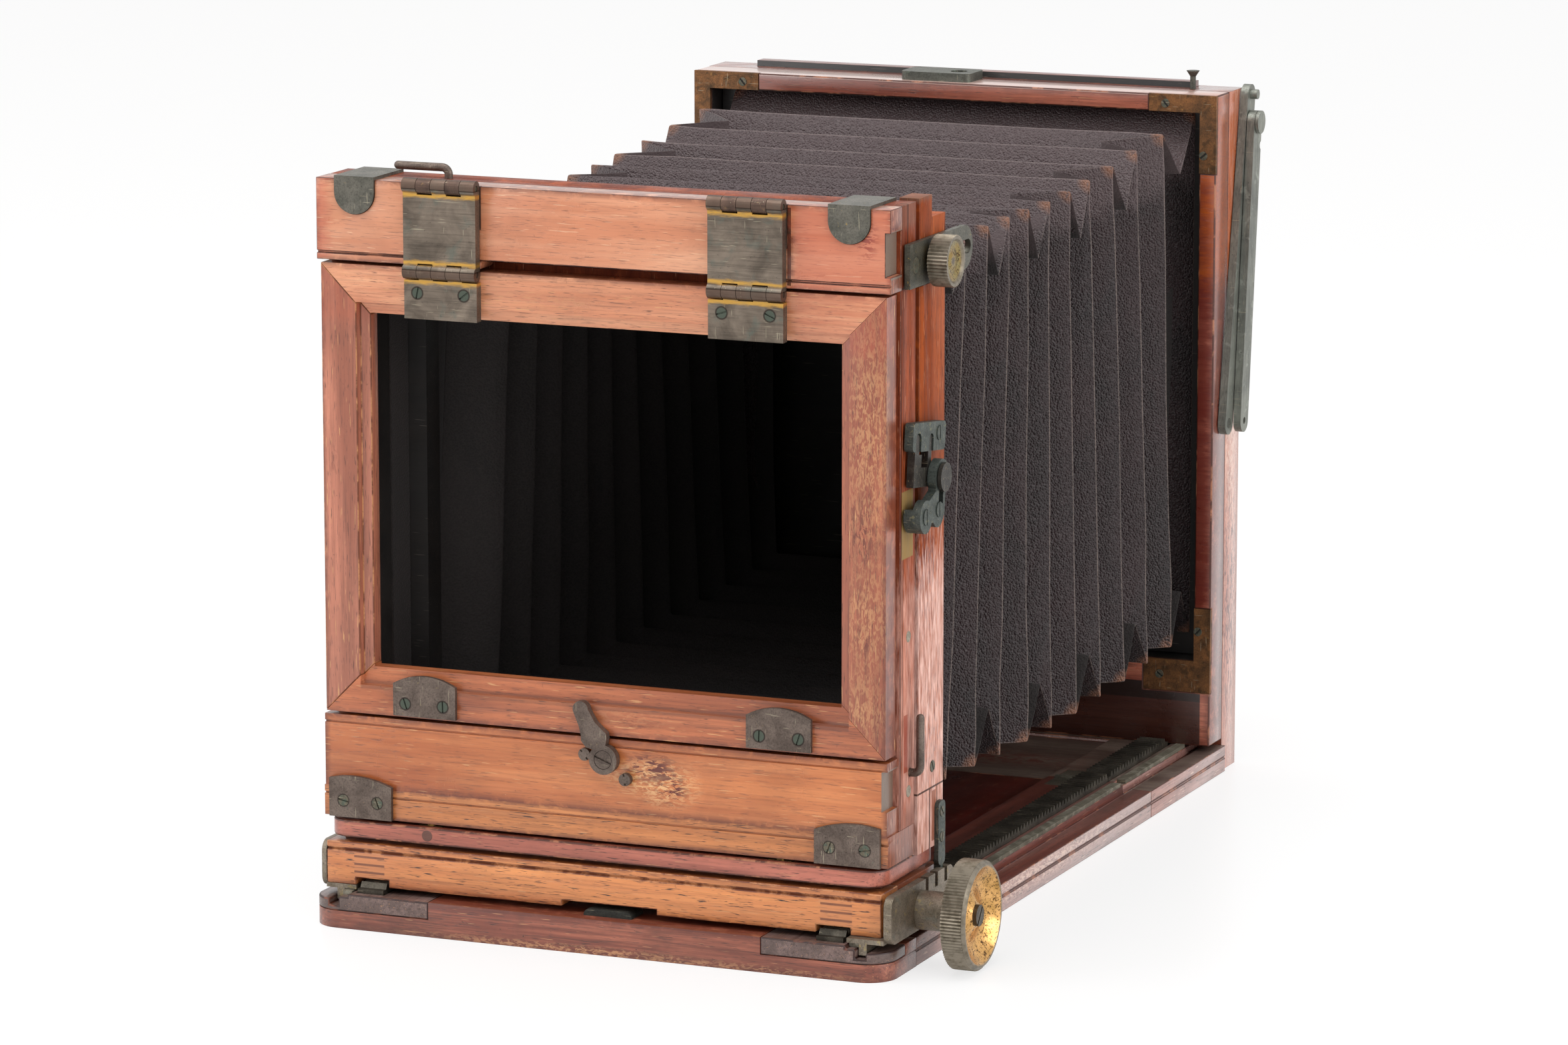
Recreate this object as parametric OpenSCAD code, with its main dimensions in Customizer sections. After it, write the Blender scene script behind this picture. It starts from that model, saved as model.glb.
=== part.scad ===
// A half plate tailboard camera with its base laid flat, the focusing carriage racked out
// and the bellows drawn. X is across the camera, Y runs from the screen to the front box,
// Z is up. The origin lies on the ground, on the middle plane, under the back's rear face.

/* [Screen frame] */
// Width of the focusing glass
glass_w = 165.1; // [150:0.1:180]
// Height of the focusing glass
glass_h = 120.7; // [110:0.1:135]
// Play of the glass in its rebate, each side
glass_play = 1; // [0.6:0.1:1.4]
// Width of the stiles
stile_w = 12.2; // [11:0.1:14]
// Height of the top rail
top_rail_h = 11.9; // [10.5:0.1:14]
// Height of the bottom rail
bottom_rail_h = 9.3; // [8.5:0.1:12]
// Thickness of the frame
frame_t = 8; // [7:0.1:8.8]
// Depth of the glass rebate
rebate_d = 3; // [2:0.1:4]
// Width of the ledge that the glass rests on
ledge_w = 3.6; // [2.5:0.1:5]

/* [Back] */
// Step from the screen frame's side to the back's side
side_step = 1.3; // [1:0.1:2]
// Thickness of the boards above and below the screen frame
board_t = 9.3; // [9.2:0.1:11]
// Height of the top board
top_board_h = 25.9; // [24:0.1:30]
// Height of the bottom board
bottom_board_h = 23.3; // [21:0.1:28]
// Height of the lower rail
lower_rail_h = 9.75; // [9:0.05:12]
// Thickness of the back's strip frame
strip_t = 12.5; // [11:0.1:15]
// Gap round the screen frame between the boards
frame_gap = 1; // [0.6:0.1:1.5]
// Distance of the beads' grooves from the boards' edges
bead_w = 2.1; // [1.6:0.1:3]
// Width and depth of the grooves
groove_w = 0.7; // [0.4:0.1:1]

/* [Standard and carriage] */
// Thickness of the standard
standard_t = 21.7; // [19:0.1:25]
// Gap between the back and the standard
swing_gap = 1.8; // [1.2:0.1:2.5]
// Gap under the back that lets it tilt
tilt_gap = 0.9; // [0.8:0.05:1.4]
// Thickness of the sole board
sole_t = 5.6; // [5:0.1:8]
// Thickness of the deck between carriage and sole
deck_t = 1.45; // [1:0.05:3]
// Height of the carriage rails
carriage_h = 13.8; // [12.5:0.1:15]
// Width of the carriage's side rails
carriage_rail_w = 29; // [27:0.5:34]

/* [Bed] */
// Length from the back's rear face to the front box
extension = 300; // [260:1:340]
// Length of the fixed bed behind the front box
front_bed_l = 64; // [55:1:75]
// Overhang of the tailboard behind the back
tail_overhang = 7.5; // [6:0.1:10]
// Thickness of the bed
bed_t = 11.3; // [10.5:0.1:13]
// Step from the back's side to the bed's side
bed_step = 2; // [1.5:0.1:3]
// Width of the outer lip
lip_w = 7; // [6:0.1:8]
// Height of the outer lip
lip_t = 9.3; // [8.8:0.1:10]
// Width of the guide groove
guide_groove_w = 3.4; // [3.2:0.1:3.8]
// Width of the metal guide strip
guide_w = 3.2; // [2.5:0.1:4]
// Height of the guide strip above the bed
guide_proud = 0.3; // [0.2:0.1:0.6]
// Width of the side rails inside the guide strips
bed_rail_w = 24; // [20:0.5:28]
// Radius of the tailboard's rear corners
tail_corner_r = 9.5; // [7:0.5:16]

/* [Rack and pinion] */
// Gear module of the racks and pinions
gear_m = 0.9; // [0.85:0.05:1]
// Number of pinion teeth
pinion_n = 9; // [8:1:10]
// Pressure angle of the teeth
flank_angle = 30; // [28:1:30]
// Play taken off each tooth flank
tooth_play = 0.06; // [0.04:0.01:0.1]
// Width of the racks
rack_w = 9; // [7:0.5:10]
// Height of the rack tips above the bed
rack_proud = 3.1; // [2.8:0.1:3.4]
// Depth of the racks let into the bed
rack_let_in = 2; // [1:0.1:3]
// Radius of the pinion shaft
shaft_r = 2.2; // [1.8:0.1:2.4]
// Distance of the pinion shaft from the back's rear face
shaft_y = 20.5; // [19:0.1:23]
// Radius of the focusing knob
knob_r = 17.4; // [14:0.1:17.4]
// Width of the focusing knob's rim
knob_w = 7.8; // [7:0.1:9]
// Number of grooves in the focusing knob's rim
knob_grooves = 100; // [60:1:120]
// Length of the bearing boss outside its bracket
boss_l = 12.5; // [9:0.1:14]
// Radial play of shafts and pins in their bores
bore_play = 0.06; // [0.03:0.01:0.09]

/* [Front box] */
// Depth of the box
box_d = 13.5; // [11:0.1:18]
// Depth of the front frame
front_frame_d = 14.5; // [13:0.1:18]
// Thickness of the box sides and top
box_wall = 6; // [5:0.1:8]
// Height of the box's bottom rail
box_rail_h = 30; // [24:0.5:36]
// Step from the standard's side to the box's side
box_step = 0.5; // [0.3:0.1:1.5]
// Half width of the rising panel
panel_hw = 82; // [78:0.5:86]
// Thickness of the rising panel
panel_t = 5.5; // [5:0.1:6.5]
// Play of the rising panel in its grooves
panel_play = 0.3; // [0.2:0.05:0.5]
// Depth of the grooves beside the panel's opening
panel_groove_d = 4; // [3:0.1:5]
// Height that the panel can rise
panel_rise = 28; // [15:1:30]
// Side of the square lens board
lens_board_w = 92; // [80:1:100]
// Inner radius of the lens flange
flange_r = 21; // [16:0.5:25]

/* [Bellows] */
// Number of pleats
pleats = 11; // [9:1:13]
// Depth of the pleats
pleat_d = 18; // [14:0.5:22]
// Half width of the bellows in the standard
bellows_hw_rear = 79.5; // [74:0.5:80]
// Gap at each side between the bellows' ridges and the opening of the box
bellows_side_gap = 5.05; // [3.5:0.05:9]
// Gap from the bellows' highest ridge to the top of the box
bellows_top_gap = 10.5; // [8:0.5:14]
// Sag of the bellows between its ends
bellows_sag = 6; // [0:0.5:8]
// Lean of the sagging pleats from bottom to top
bellows_lean = 17; // [0:1:20]
// Thickness of the leather
leather_t = 1.2; // [0.8:0.1:1.6]

/* [Brass work] */
// Width of each double hinge
hinge_w = 25; // [20:0.5:30]
// Middle of the left hinge
hinge_left_x = -52.7; // [-60:0.1:-45]
// Middle of the right hinge
hinge_right_x = 50.5; // [45:0.5:60]
// Radius of the hinge barrels
barrel_r = 2.4; // [2.1:0.1:2.4]
// Thickness of the hinge leaves
hinge_leaf_t = 3.1; // [2.4:0.1:3.2]
// Thickness of thin plates
plate_t = 1.4; // [1:0.1:1.8]
// Radius of the screw heads
screw_r = 1.8; // [1.5:0.1:2.1]
// Length of the stay links between their pivots
stay_l = 104.8; // [85:0.1:108]
// Width of the stay links
stay_w = 8; // [6:0.1:9]
// Thickness of the stay links
stay_t = 2.7; // [2:0.1:3.2]
// Radius of the swing clamp knobs
swing_knob_r = 8.1; // [6.5:0.1:9]
// Length of the slotted swing plates past their pivots
swing_plate_l = 48; // [44:0.5:52]
// Height of the slotted swing plates
swing_plate_h = 13.8; // [12:0.1:18]

/* [Hidden] */
$fn = 48;

// Small amounts used everywhere
eps = 0.01;
gap = 0.3;

// Heights, from the ground up
guide_top = bed_t + guide_proud;
runner_t = 1.45;
runner_gap = 0.15;
carriage_z = guide_top + runner_gap + runner_t;
deck_z = carriage_z + carriage_h;
sole_z = deck_z + deck_t;
sole_top = sole_z + sole_t;
back_z = sole_top + tilt_gap;
bottom_board_z = back_z + lower_rail_h;
frame_h = glass_h + 2 * glass_play + top_rail_h + bottom_rail_h;
frame_z = bottom_board_z + bottom_board_h + frame_gap;
frame_top = frame_z + frame_h;
top_board_z = frame_top + frame_gap;
back_top = top_board_z + top_board_h;
rebate_z = frame_z + bottom_rail_h;
rebate_top = frame_top - top_rail_h;

// Half widths
frame_hw = glass_w / 2 + glass_play + stile_w;
rebate_hw = frame_hw - stile_w;
body_hw = frame_hw + side_step;
strip_hw = body_hw - 0.4;
bed_hw = body_hw + bed_step;
box_hw = body_hw + box_step;
carriage_hw = body_hw - 1.8;
lip_x = bed_hw - lip_w;
guide_x = lip_x - guide_groove_w;
rack_x = guide_x - guide_w - 2;
bed_rail_x = guide_x - guide_w - bed_rail_w;

// Depths, from the back's rear face
strip_y = board_t;
back_front = board_t + strip_t;
standard_y = back_front + swing_gap;
standard_front = standard_y + standard_t;
hinge_y = extension - front_bed_l;
box_y = extension;
front_frame_y = box_y + box_d;
front_y = front_frame_y + front_frame_d;
box_z = bed_t;

// Openings
ledge_hw = rebate_hw - ledge_w;
ledge_z = rebate_z + ledge_w + 2;
ledge_top = rebate_top - ledge_w;
strip_open_z = frame_z + 4;
strip_open_top = frame_top - 4;
bellows_z = bottom_board_z + 13.5;
bellows_top = back_top - 27.5;
standard_open_hw = bellows_hw_rear + 4.5;
strip_open_hw = standard_open_hw - 1.3;
standard_open_z = bellows_z - 5;
standard_open_top = bellows_top + 5;
box_open_hw = box_hw - box_wall;
bellows_hw = box_open_hw - bellows_side_gap;
box_open_z = box_z + box_rail_h;
box_open_top = back_top - box_wall;

// Rack and pinion
pitch = PI * gear_m;
tooth_add = 0.83 * gear_m;
tooth_ded = 1.15 * gear_m;
rack_top = bed_t + rack_proud;
rack_pitch_z = rack_top - tooth_add;
rack_root_z = rack_pitch_z - tooth_ded;
rack_floor = bed_t - rack_let_in;
pinion_r = gear_m * pinion_n / 2;
pinion_tip_r = pinion_r + tooth_add;
shaft_z = rack_pitch_z + pinion_r;
rack_start = -tail_overhang + 3.5;
rack_mid = rack_x - rack_w / 2;
notch_x = rack_x - rack_w - 1;
notch_out_x = rack_x + 1.5;
notch_z = rack_top + 1.2;

// Swing
swing_y = 4;
swing_z = back_z + 2.5;
lug_x = 60;
lug_t = 2.4;
lug_r = 2.3;
swing_pin_r = 1.2;
plate_pivot_y = strip_y + strip_t / 2;
plate_pivot_z = back_top - 18.8;
stud_y = standard_y + 5;
stud_z = plate_pivot_z - 0.1;
stud_r = 1.6;
swing_plate_t = 1.8;
swing_plate_x = body_hw + gap;
swing_plate_out = swing_plate_x + swing_plate_t;

// Brackets and knob
bracket_t = 2.6;
bracket_x = body_hw + 0.2;
bracket_out = bracket_x + bracket_t;
bracket_y = -5;
bracket_front = standard_front + 2.5;
bracket_top = deck_z - 0.2;
bracket_left_x = carriage_hw + 0.15;
bracket_left_out = bracket_left_x + 1.6;
notch_w = 2.4;
notch_step = 8;
notch_y = shaft_y + 4.6;
boss_r = 6.2;
knob_x = bracket_out + boss_l + gap;
knob_out = knob_x + knob_w;
strip_foot_z = bracket_top - 3.5;

// Hinges
knuckle_w = hinge_w / 5;
barrel_y = -barrel_r - 0.2;
upper_axis_z = back_top - 0.45;
lower_axis_z = frame_top - 0.6;
hinge_pin_r = 0.9;
leaf_y = -hinge_leaf_t;

// Turn button and stops
button_x = 1.7;
button_z = bottom_board_z + 17;
button_t = 2.5;
button_gap = 0.25;
button_screw_r = 1.65;

// Side catch
catch_x = body_hw + gap;
catch_y = standard_y - 6;
catch_z = frame_z + 0.47 * glass_h;
catch_drop = 6.4;
bolt_t = 2.5;

// Stay
stay_x = box_hw + 0.4;
stay_y = box_y + 8.5;
stay_z = back_z + 90;
stay_lean = 10.1;
elbow_y = stay_y + stay_l * sin(stay_lean);
elbow_z = stay_z + stay_l * cos(stay_lean);
stay_out_x = stay_x + stay_t + gap;
stay_hang = stay_l - 1;
stay_hang_lean = 6;

// Rising panel
panel_y = front_frame_y + 7;
panel_z = 28;
panel_top = back_top + 2;
panel_open_hw = panel_hw - panel_groove_d;
panel_open_z = panel_z + panel_rise + 4;
panel_open_top = back_top - 13;
top_screw_x = body_hw - 14;
top_screw_y = front_frame_y + 3.5;
lens_z = 0.58 * back_top;
lens_button_z = lens_z + lens_board_w / 2 + 4;
button_stud_r = 1.3;

function pairs(list) = [for (item = list) each item];
function mix(a, b, t) = a + (b - a) * t;
function inv_deg(a) = tan(a) - a * PI / 180;
function half_angle(r) = (pitch / 4 - tooth_play) / pinion_r * 180 / PI
    + (inv_deg(flank_angle) - inv_deg(acos(pinion_base_r / r))) * 180 / PI;
pinion_base_r = pinion_r * cos(flank_angle);
pinion_root_r = pinion_r - tooth_ded;
function polar(r, a) = [r * cos(a), r * sin(a)];

module block(x0, x1, y0, y1, z0, z1) {
    translate([x0, y0, z0]) cube([x1 - x0, y1 - y0, z1 - z0]);
}
module both_sides() {
    children();
    mirror([1, 0, 0]) children();
}
module rod_x(x0, x1, y, z, r) {
    translate([x0, y, z]) rotate([0, 90, 0]) cylinder(h = x1 - x0, r = r);
}
module rod_y(x, y0, y1, z, r) {
    translate([x, y1, z]) rotate([90, 0, 0]) cylinder(h = y1 - y0, r = r);
}
module rod_z(x, y, z0, z1, r) {
    translate([x, y, z0]) cylinder(h = z1 - z0, r = r);
}
// A shape drawn as [y, z], run along X
module along_x(x0, x1) {
    translate([x0, 0, 0]) rotate([90, 0, 90]) linear_extrude(x1 - x0) children();
}
// A shape drawn as [x, z], run along Y
module along_y(y0, y1) {
    translate([0, y1, 0]) rotate([90, 0, 0]) linear_extrude(y1 - y0) children();
}
// A rectangle with rounded corners, made of plain cuts so its arcs stay true
module round_rect(x0, x1, y0, y1, r) {
    translate([x0 + r, y0]) square([x1 - x0 - 2 * r, y1 - y0]);
    translate([x0, y0 + r]) square([x1 - x0, y1 - y0 - 2 * r]);
    for (x = [x0 + r, x1 - r]) for (y = [y0 + r, y1 - r]) translate([x, y]) circle(r);
}
// The clearance hole and the screw share these places: [x, z] on a face that looks to the rear
module rear_screw(x, y, z, turn) {
    difference() {
        union() {
            rod_y(x, y, y + 0.9, z, screw_r);
            rod_y(x, y + 0.9, y + 8, z, screw_r / 2);
        }
        translate([x, y, z]) rotate([0, turn, 0]) cube([2 * screw_r + 1, 0.9, 0.5], center = true);
    }
}
module rear_hole(x, y, z) {
    rod_y(x, y - 1, y + 0.9, z, screw_r);
    rod_y(x, y + 0.8, y + 8, z, screw_r / 2);
}
module side_screw(x, y, z, turn) {
    difference() {
        union() {
            rod_x(x - 0.9, x, y, z, screw_r);
            rod_x(x - 8, x - 0.9, y, z, screw_r / 2);
        }
        translate([x, y, z]) rotate([turn, 0, 0]) cube([0.9, 2 * screw_r + 1, 0.5], center = true);
    }
}
module side_hole(x, y, z) {
    rod_x(x - 0.9, x + 1, y, z, screw_r);
    rod_x(x - 8, x - 0.8, y, z, screw_r / 2);
}

// The bed: lip, groove and raised inner part, over the plan that is given as a child
module bed_cuts(y0, y1) {
    both_sides() {
        block(lip_x - eps, bed_hw + 1, y0, y1, lip_t, bed_t + 1);
        block(guide_x, lip_x, y0, y1, lip_t - 2, bed_t + 1);
        block(guide_x - guide_w, guide_x + eps, y0, y1, bed_t - 1, bed_t + 1);
        block(rack_x - rack_w, rack_x, max(y0, rack_start), y1, rack_floor, bed_t + 1);
        translate([bed_hw, 0, lip_t / 2 + 0.5]) rotate([90, 0, 0])
            translate([0, 0, -y1]) linear_extrude(y1 - y0) circle(0.45, $fn = 4);
    }
}
module tail_plan(y0, y1) {
    linear_extrude(bed_t) intersection() {
        round_rect(-bed_hw, bed_hw, -tail_overhang, 2 * extension, tail_corner_r);
        translate([-bed_hw, y0]) square([2 * bed_hw, y1 - y0]);
    }
}
tail_rail_y = 18;
clamp_in_x = 57;
clamp_y = 9;
clamp_z = bed_t / 2;
module clamp_space() {
    both_sides() block(clamp_in_x, bed_hw + 1, -tail_overhang - 1, clamp_y, clamp_z, bed_t + 1);
}
module tail_end_rail() {
    color("#96553c") difference() {
        tail_plan(-tail_overhang, tail_rail_y);
        bed_cuts(-tail_overhang - 1, tail_rail_y + 1);
        clamp_space();
    }
}
module tail_clamps() {
    color("#4a2c24") difference() {
        intersection() {
            tail_plan(-tail_overhang, clamp_y);
            clamp_space();
        }
        bed_cuts(-tail_overhang - 1, tail_rail_y + 1);
    }
}
module tail_side_rails() {
    color("#96553c") difference() {
        both_sides() block(bed_rail_x, bed_hw, tail_rail_y, hinge_y, 0, bed_t);
        bed_cuts(tail_rail_y - 1, hinge_y + 1);
        hinge_lets();
    }
}
panel_sink = 1.2;
module tail_panel() {
    color("#5a1c12") block(-bed_rail_x, bed_rail_x, tail_rail_y, hinge_y, 1.5, bed_t - panel_sink);
}
latch_x0 = -5;
latch_x1 = 11.5;
latch_h = 2.2;
latch_y = -tail_overhang + 4.5;
module tail_latch() {
    color("#6c655a") along_y(latch_y, latch_y + 9)
        intersection() {
            translate([0, -latch_h]) round_rect(latch_x0, latch_x1, bed_t, bed_t + 2 * latch_h, latch_h - 0.2);
            translate([latch_x0, bed_t]) square([latch_x1 - latch_x0, latch_h]);
        }
}

// Rack teeth stand at whole pitches from the pinion, with a space under it at rest
function rack_tooth(c) = [
    [c - pitch / 4 + tooth_play - tooth_ded * tan(flank_angle), rack_root_z],
    [c - pitch / 4 + tooth_play + tooth_add * tan(flank_angle), rack_top],
    [c + pitch / 4 - tooth_play - tooth_add * tan(flank_angle), rack_top],
    [c + pitch / 4 - tooth_play + tooth_ded * tan(flank_angle), rack_root_z]];
function rack_outline(y0, y1) = let (
    first = ceil((y0 + pitch / 2 - shaft_y) / pitch - 0.5),
    last = floor((y1 - pitch / 2 - shaft_y) / pitch - 0.5)
) concat(
    [[y0, rack_floor], [y0, rack_root_z]],
    pairs([for (k = [first:last]) rack_tooth(shaft_y + (k + 0.5) * pitch)]),
    [[y1, rack_root_z], [y1, rack_floor]]);
module rack(y0, y1) {
    both_sides() along_x(rack_x - rack_w, rack_x) polygon(rack_outline(y0, y1));
}
module racks() {
    color("#2f2b26") {
        rack(rack_start, hinge_y - gap);
        rack(hinge_y + gap, box_y - 3);
    }
}
module guide_strips() {
    color("#b9b3a4") both_sides() {
        block(guide_x - guide_w, guide_x, rack_start, hinge_y - 2, bed_t - 1, guide_top);
        block(guide_x - guide_w, guide_x, hinge_y + 3, box_y, bed_t - 1, guide_top);
    }
}

// Butt hinges between tailboard and fixed bed, let in flush inside the racks
tail_hinge_x = bed_rail_x + 3;
tail_hinge_w = 8;
tail_leaf_l = 12;
tail_leaf_t = 1.5;
module hinge_lets() {
    both_sides() {
        block(tail_hinge_x, tail_hinge_x + tail_hinge_w, hinge_y - tail_leaf_l, hinge_y + tail_leaf_l,
            bed_t - tail_leaf_t, bed_t + 1);
        rod_x(tail_hinge_x, tail_hinge_x + tail_hinge_w, hinge_y, bed_t - 0.8, 2);
    }
}
module tail_hinges() {
    color("#7d7358") both_sides() {
        for (side = [-1, 1]) difference() {
            union() {
                block(tail_hinge_x, tail_hinge_x + tail_hinge_w, hinge_y + (side < 0 ? -tail_leaf_l : 0),
                    hinge_y + (side < 0 ? 0 : tail_leaf_l), bed_t - tail_leaf_t, bed_t);
                rod_x(tail_hinge_x, tail_hinge_x + tail_hinge_w, hinge_y, bed_t - 0.8, 1.7);
            }
            rod_x(tail_hinge_x - 1, tail_hinge_x + tail_hinge_w + 1, hinge_y, bed_t - 0.8, 0.7);
            for (k = [0:3]) if (k % 2 == (side < 0 ? 0 : 1))
                rod_x(tail_hinge_x + k * tail_hinge_w / 4 - 0.05, tail_hinge_x + (k + 1) * tail_hinge_w / 4 + 0.05,
                    hinge_y, bed_t - 0.8, 1.75);
        }
        rod_x(tail_hinge_x, tail_hinge_x + tail_hinge_w, hinge_y, bed_t - 0.8, 0.7);
    }
}
bush_r = 9;
thread_r = 4.76;
bush_y = extension - 30;
module front_bed() {
    color("#96553c") difference() {
        block(-bed_hw, bed_hw, hinge_y, front_frame_y, 0, bed_t);
        bed_cuts(hinge_y - 1, front_frame_y + 1);
        hinge_lets();
        block(-bed_rail_x, bed_rail_x, hinge_y - 1, box_y - 2, bed_t - panel_sink, bed_t + 1);
        rod_z(0, bush_y, -1, 8, bush_r);
        block(guide_x - guide_w - 30, bed_hw + 1, box_y, front_frame_y + 1, bed_t, bed_t + 2);
    }
}
module tripod_bush() {
    color("#8c8060") difference() {
        rod_z(0, bush_y, 0, 8, bush_r);
        rod_z(0, bush_y, -1, 7, thread_r);
    }
}

// Front box: a rear frame of thin boards and a heavier front frame that reaches the ground
module box_corner(x, z, leg_x, leg_z, w_x, w_z) {
    block(min(x, x + leg_x), max(x, x + leg_x), box_y, box_y + plate_t, min(z, z + w_z), max(z, z + w_z));
    block(min(x, x + w_x), max(x, x + w_x), box_y, box_y + plate_t, min(z, z + leg_z), max(z, z + leg_z));
}
angle_leg = 24.5;
low_angle_h = 11;
module box_corners() {
    for (s = [-1, 1]) {
        box_corner(s * box_hw, back_top, -s * angle_leg, -1.1 * angle_leg, -s * box_wall, -box_wall);
        box_corner(s * box_hw, box_open_z - low_angle_h, -s * angle_leg, 1.22 * angle_leg, -s * box_wall,
            low_angle_h);
    }
}
module box_frame() {
    color("#3c140f") difference() {
        block(-box_hw, box_hw, box_y, front_frame_y, box_z, back_top);
        block(-box_open_hw, box_open_hw, box_y - 1, front_frame_y + 1, box_open_z, box_open_top);
        box_corners();
    }
}
module box_corner_plates() {
    color("#a8793c") box_corners();
}
module front_frame() {
    color("#7a3a24") difference() {
        block(-box_hw, box_hw, front_frame_y, front_y, 0, back_top);
        block(-panel_open_hw, panel_open_hw, front_frame_y - 1, front_y + 1, panel_open_z, panel_open_top);
        block(-panel_hw - panel_play, panel_hw + panel_play, panel_y - panel_play,
            panel_y + panel_t + panel_play, panel_z - 1, back_top + 1);
        rod_z(top_screw_x, top_screw_y, back_top - 6, back_top + 1, 1);
    }
}
catch_plate_x = -20.5;
catch_plate_l = 26;
catch_plate_t = 3;
thumb_r = 3;
module box_catch() {
    color("#4c443a") {
        rod_z(top_screw_x, top_screw_y, back_top - 6, back_top + 6, 1);
        translate([top_screw_x, top_screw_y, back_top + 4.4]) cylinder(h = 2, r1 = 1, r2 = 2.3);
    }
    color("#5a554a") difference() {
        translate([0, 0, back_top]) linear_extrude(catch_plate_t)
            round_rect(catch_plate_x, catch_plate_x + catch_plate_l, box_y + 3, front_frame_y + 4.5, 2.5);
        rod_z(catch_plate_x + 0.75 * catch_plate_l, box_y + 10, back_top + 0.7 * catch_plate_t,
            back_top + catch_plate_t + 1, thumb_r);
    }
}
flange_board_t = 2.5;
module bellows_front_board() {
    color("#1a1716") difference() {
        block(-box_open_hw + gap, box_open_hw - gap, front_frame_y - flange_board_t, front_frame_y,
            box_open_z + gap, box_open_top - gap);
        block(-panel_open_hw + 4, panel_open_hw - 4, front_frame_y - 9, front_y, panel_open_z + 2,
            panel_open_top - 4);
    }
}

// Bellows with square corners: the ridges are whole rings, and at each valley the corners fold
// flat in turn over the top and bottom, then over the sides, as stiffened leather bellows do
bellows_y0 = standard_front - 1;
bellows_y1 = front_frame_y - flange_board_t;
ridge_first = standard_front + 8;
ridge_last = bellows_y1 - 19;
flap_t = 1;
ridge_low = box_open_z + 7.5;
function corner_x(c) = c < 2 ? 1 : -1;
function is_top(c) = c == 1 || c == 2;
function ridge_y(k) = k > pleats ? bellows_y1 : mix(ridge_first, ridge_last, (k - 1) / (pleats - 1));
function ridge_lean(k) = k > pleats ? 0 : -bellows_lean * cos(220 * (pleats - k - 1.5) / pleats);
function ridge_z0(k) = ridge_low - bellows_sag * sin(180 * k / (pleats + 1));
function ridge_z1(k) = back_top - bellows_top_gap - 9 * (1 - pow(max(0, 1 - (pleats - k) / 6), 2));
function at_height(k, z) = ridge_y(k) + ridge_lean(k) * (z - ridge_z0(k)) / (ridge_z1(k) - ridge_z0(k));
// A corner of the ring at k, which may lie half way between two ridges, moved in along x and z
function ring_point(k, c, in_x, in_z) = let (
    z = is_top(c) ? ridge_z1(k) - in_z : ridge_z0(k) + in_z,
    low = floor(k),
    high = ceil(k),
    y = low == high ? at_height(low, z) : (at_height(low, z) + at_height(high, z)) / 2
) [corner_x(c) * (bellows_hw - in_x), y, z];
function end_point(c, inset) = [corner_x(c) * (bellows_hw_rear - inset), bellows_y0,
    is_top(c) ? bellows_top - inset : bellows_z + inset];
function over_top(v) = (pleats - v) % 2 == 1;
function flap_point(v, c) = over_top(v) ? ring_point(v + 0.5, c, pleat_d, 0) : ring_point(v + 0.5, c, 0, pleat_d);
function valley_point(v, c) = over_top(v) ? ring_point(v + 0.5, c, pleat_d + flap_t, pleat_d)
    : ring_point(v + 0.5, c, pleat_d, pleat_d + flap_t);
valley_in = pleat_d + flap_t + leather_t;
// Places in the list of points: the end, then each ridge with the valley behind it, then the board
function ridge_at(k, c) = 4 + 12 * (k - 1) + c;
function valley_at(v, c) = 8 + 12 * (v - 1) + c;
function flap_at(v, c) = 12 + 12 * (v - 1) + c;
inner_at = 4 + 12 * pleats + 4;
function inner_ridge_at(k, c) = inner_at + 4 + 8 * (k - 1) + c;
function inner_valley_at(v, c) = inner_at + 8 + 8 * (v - 1) + c;
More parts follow.
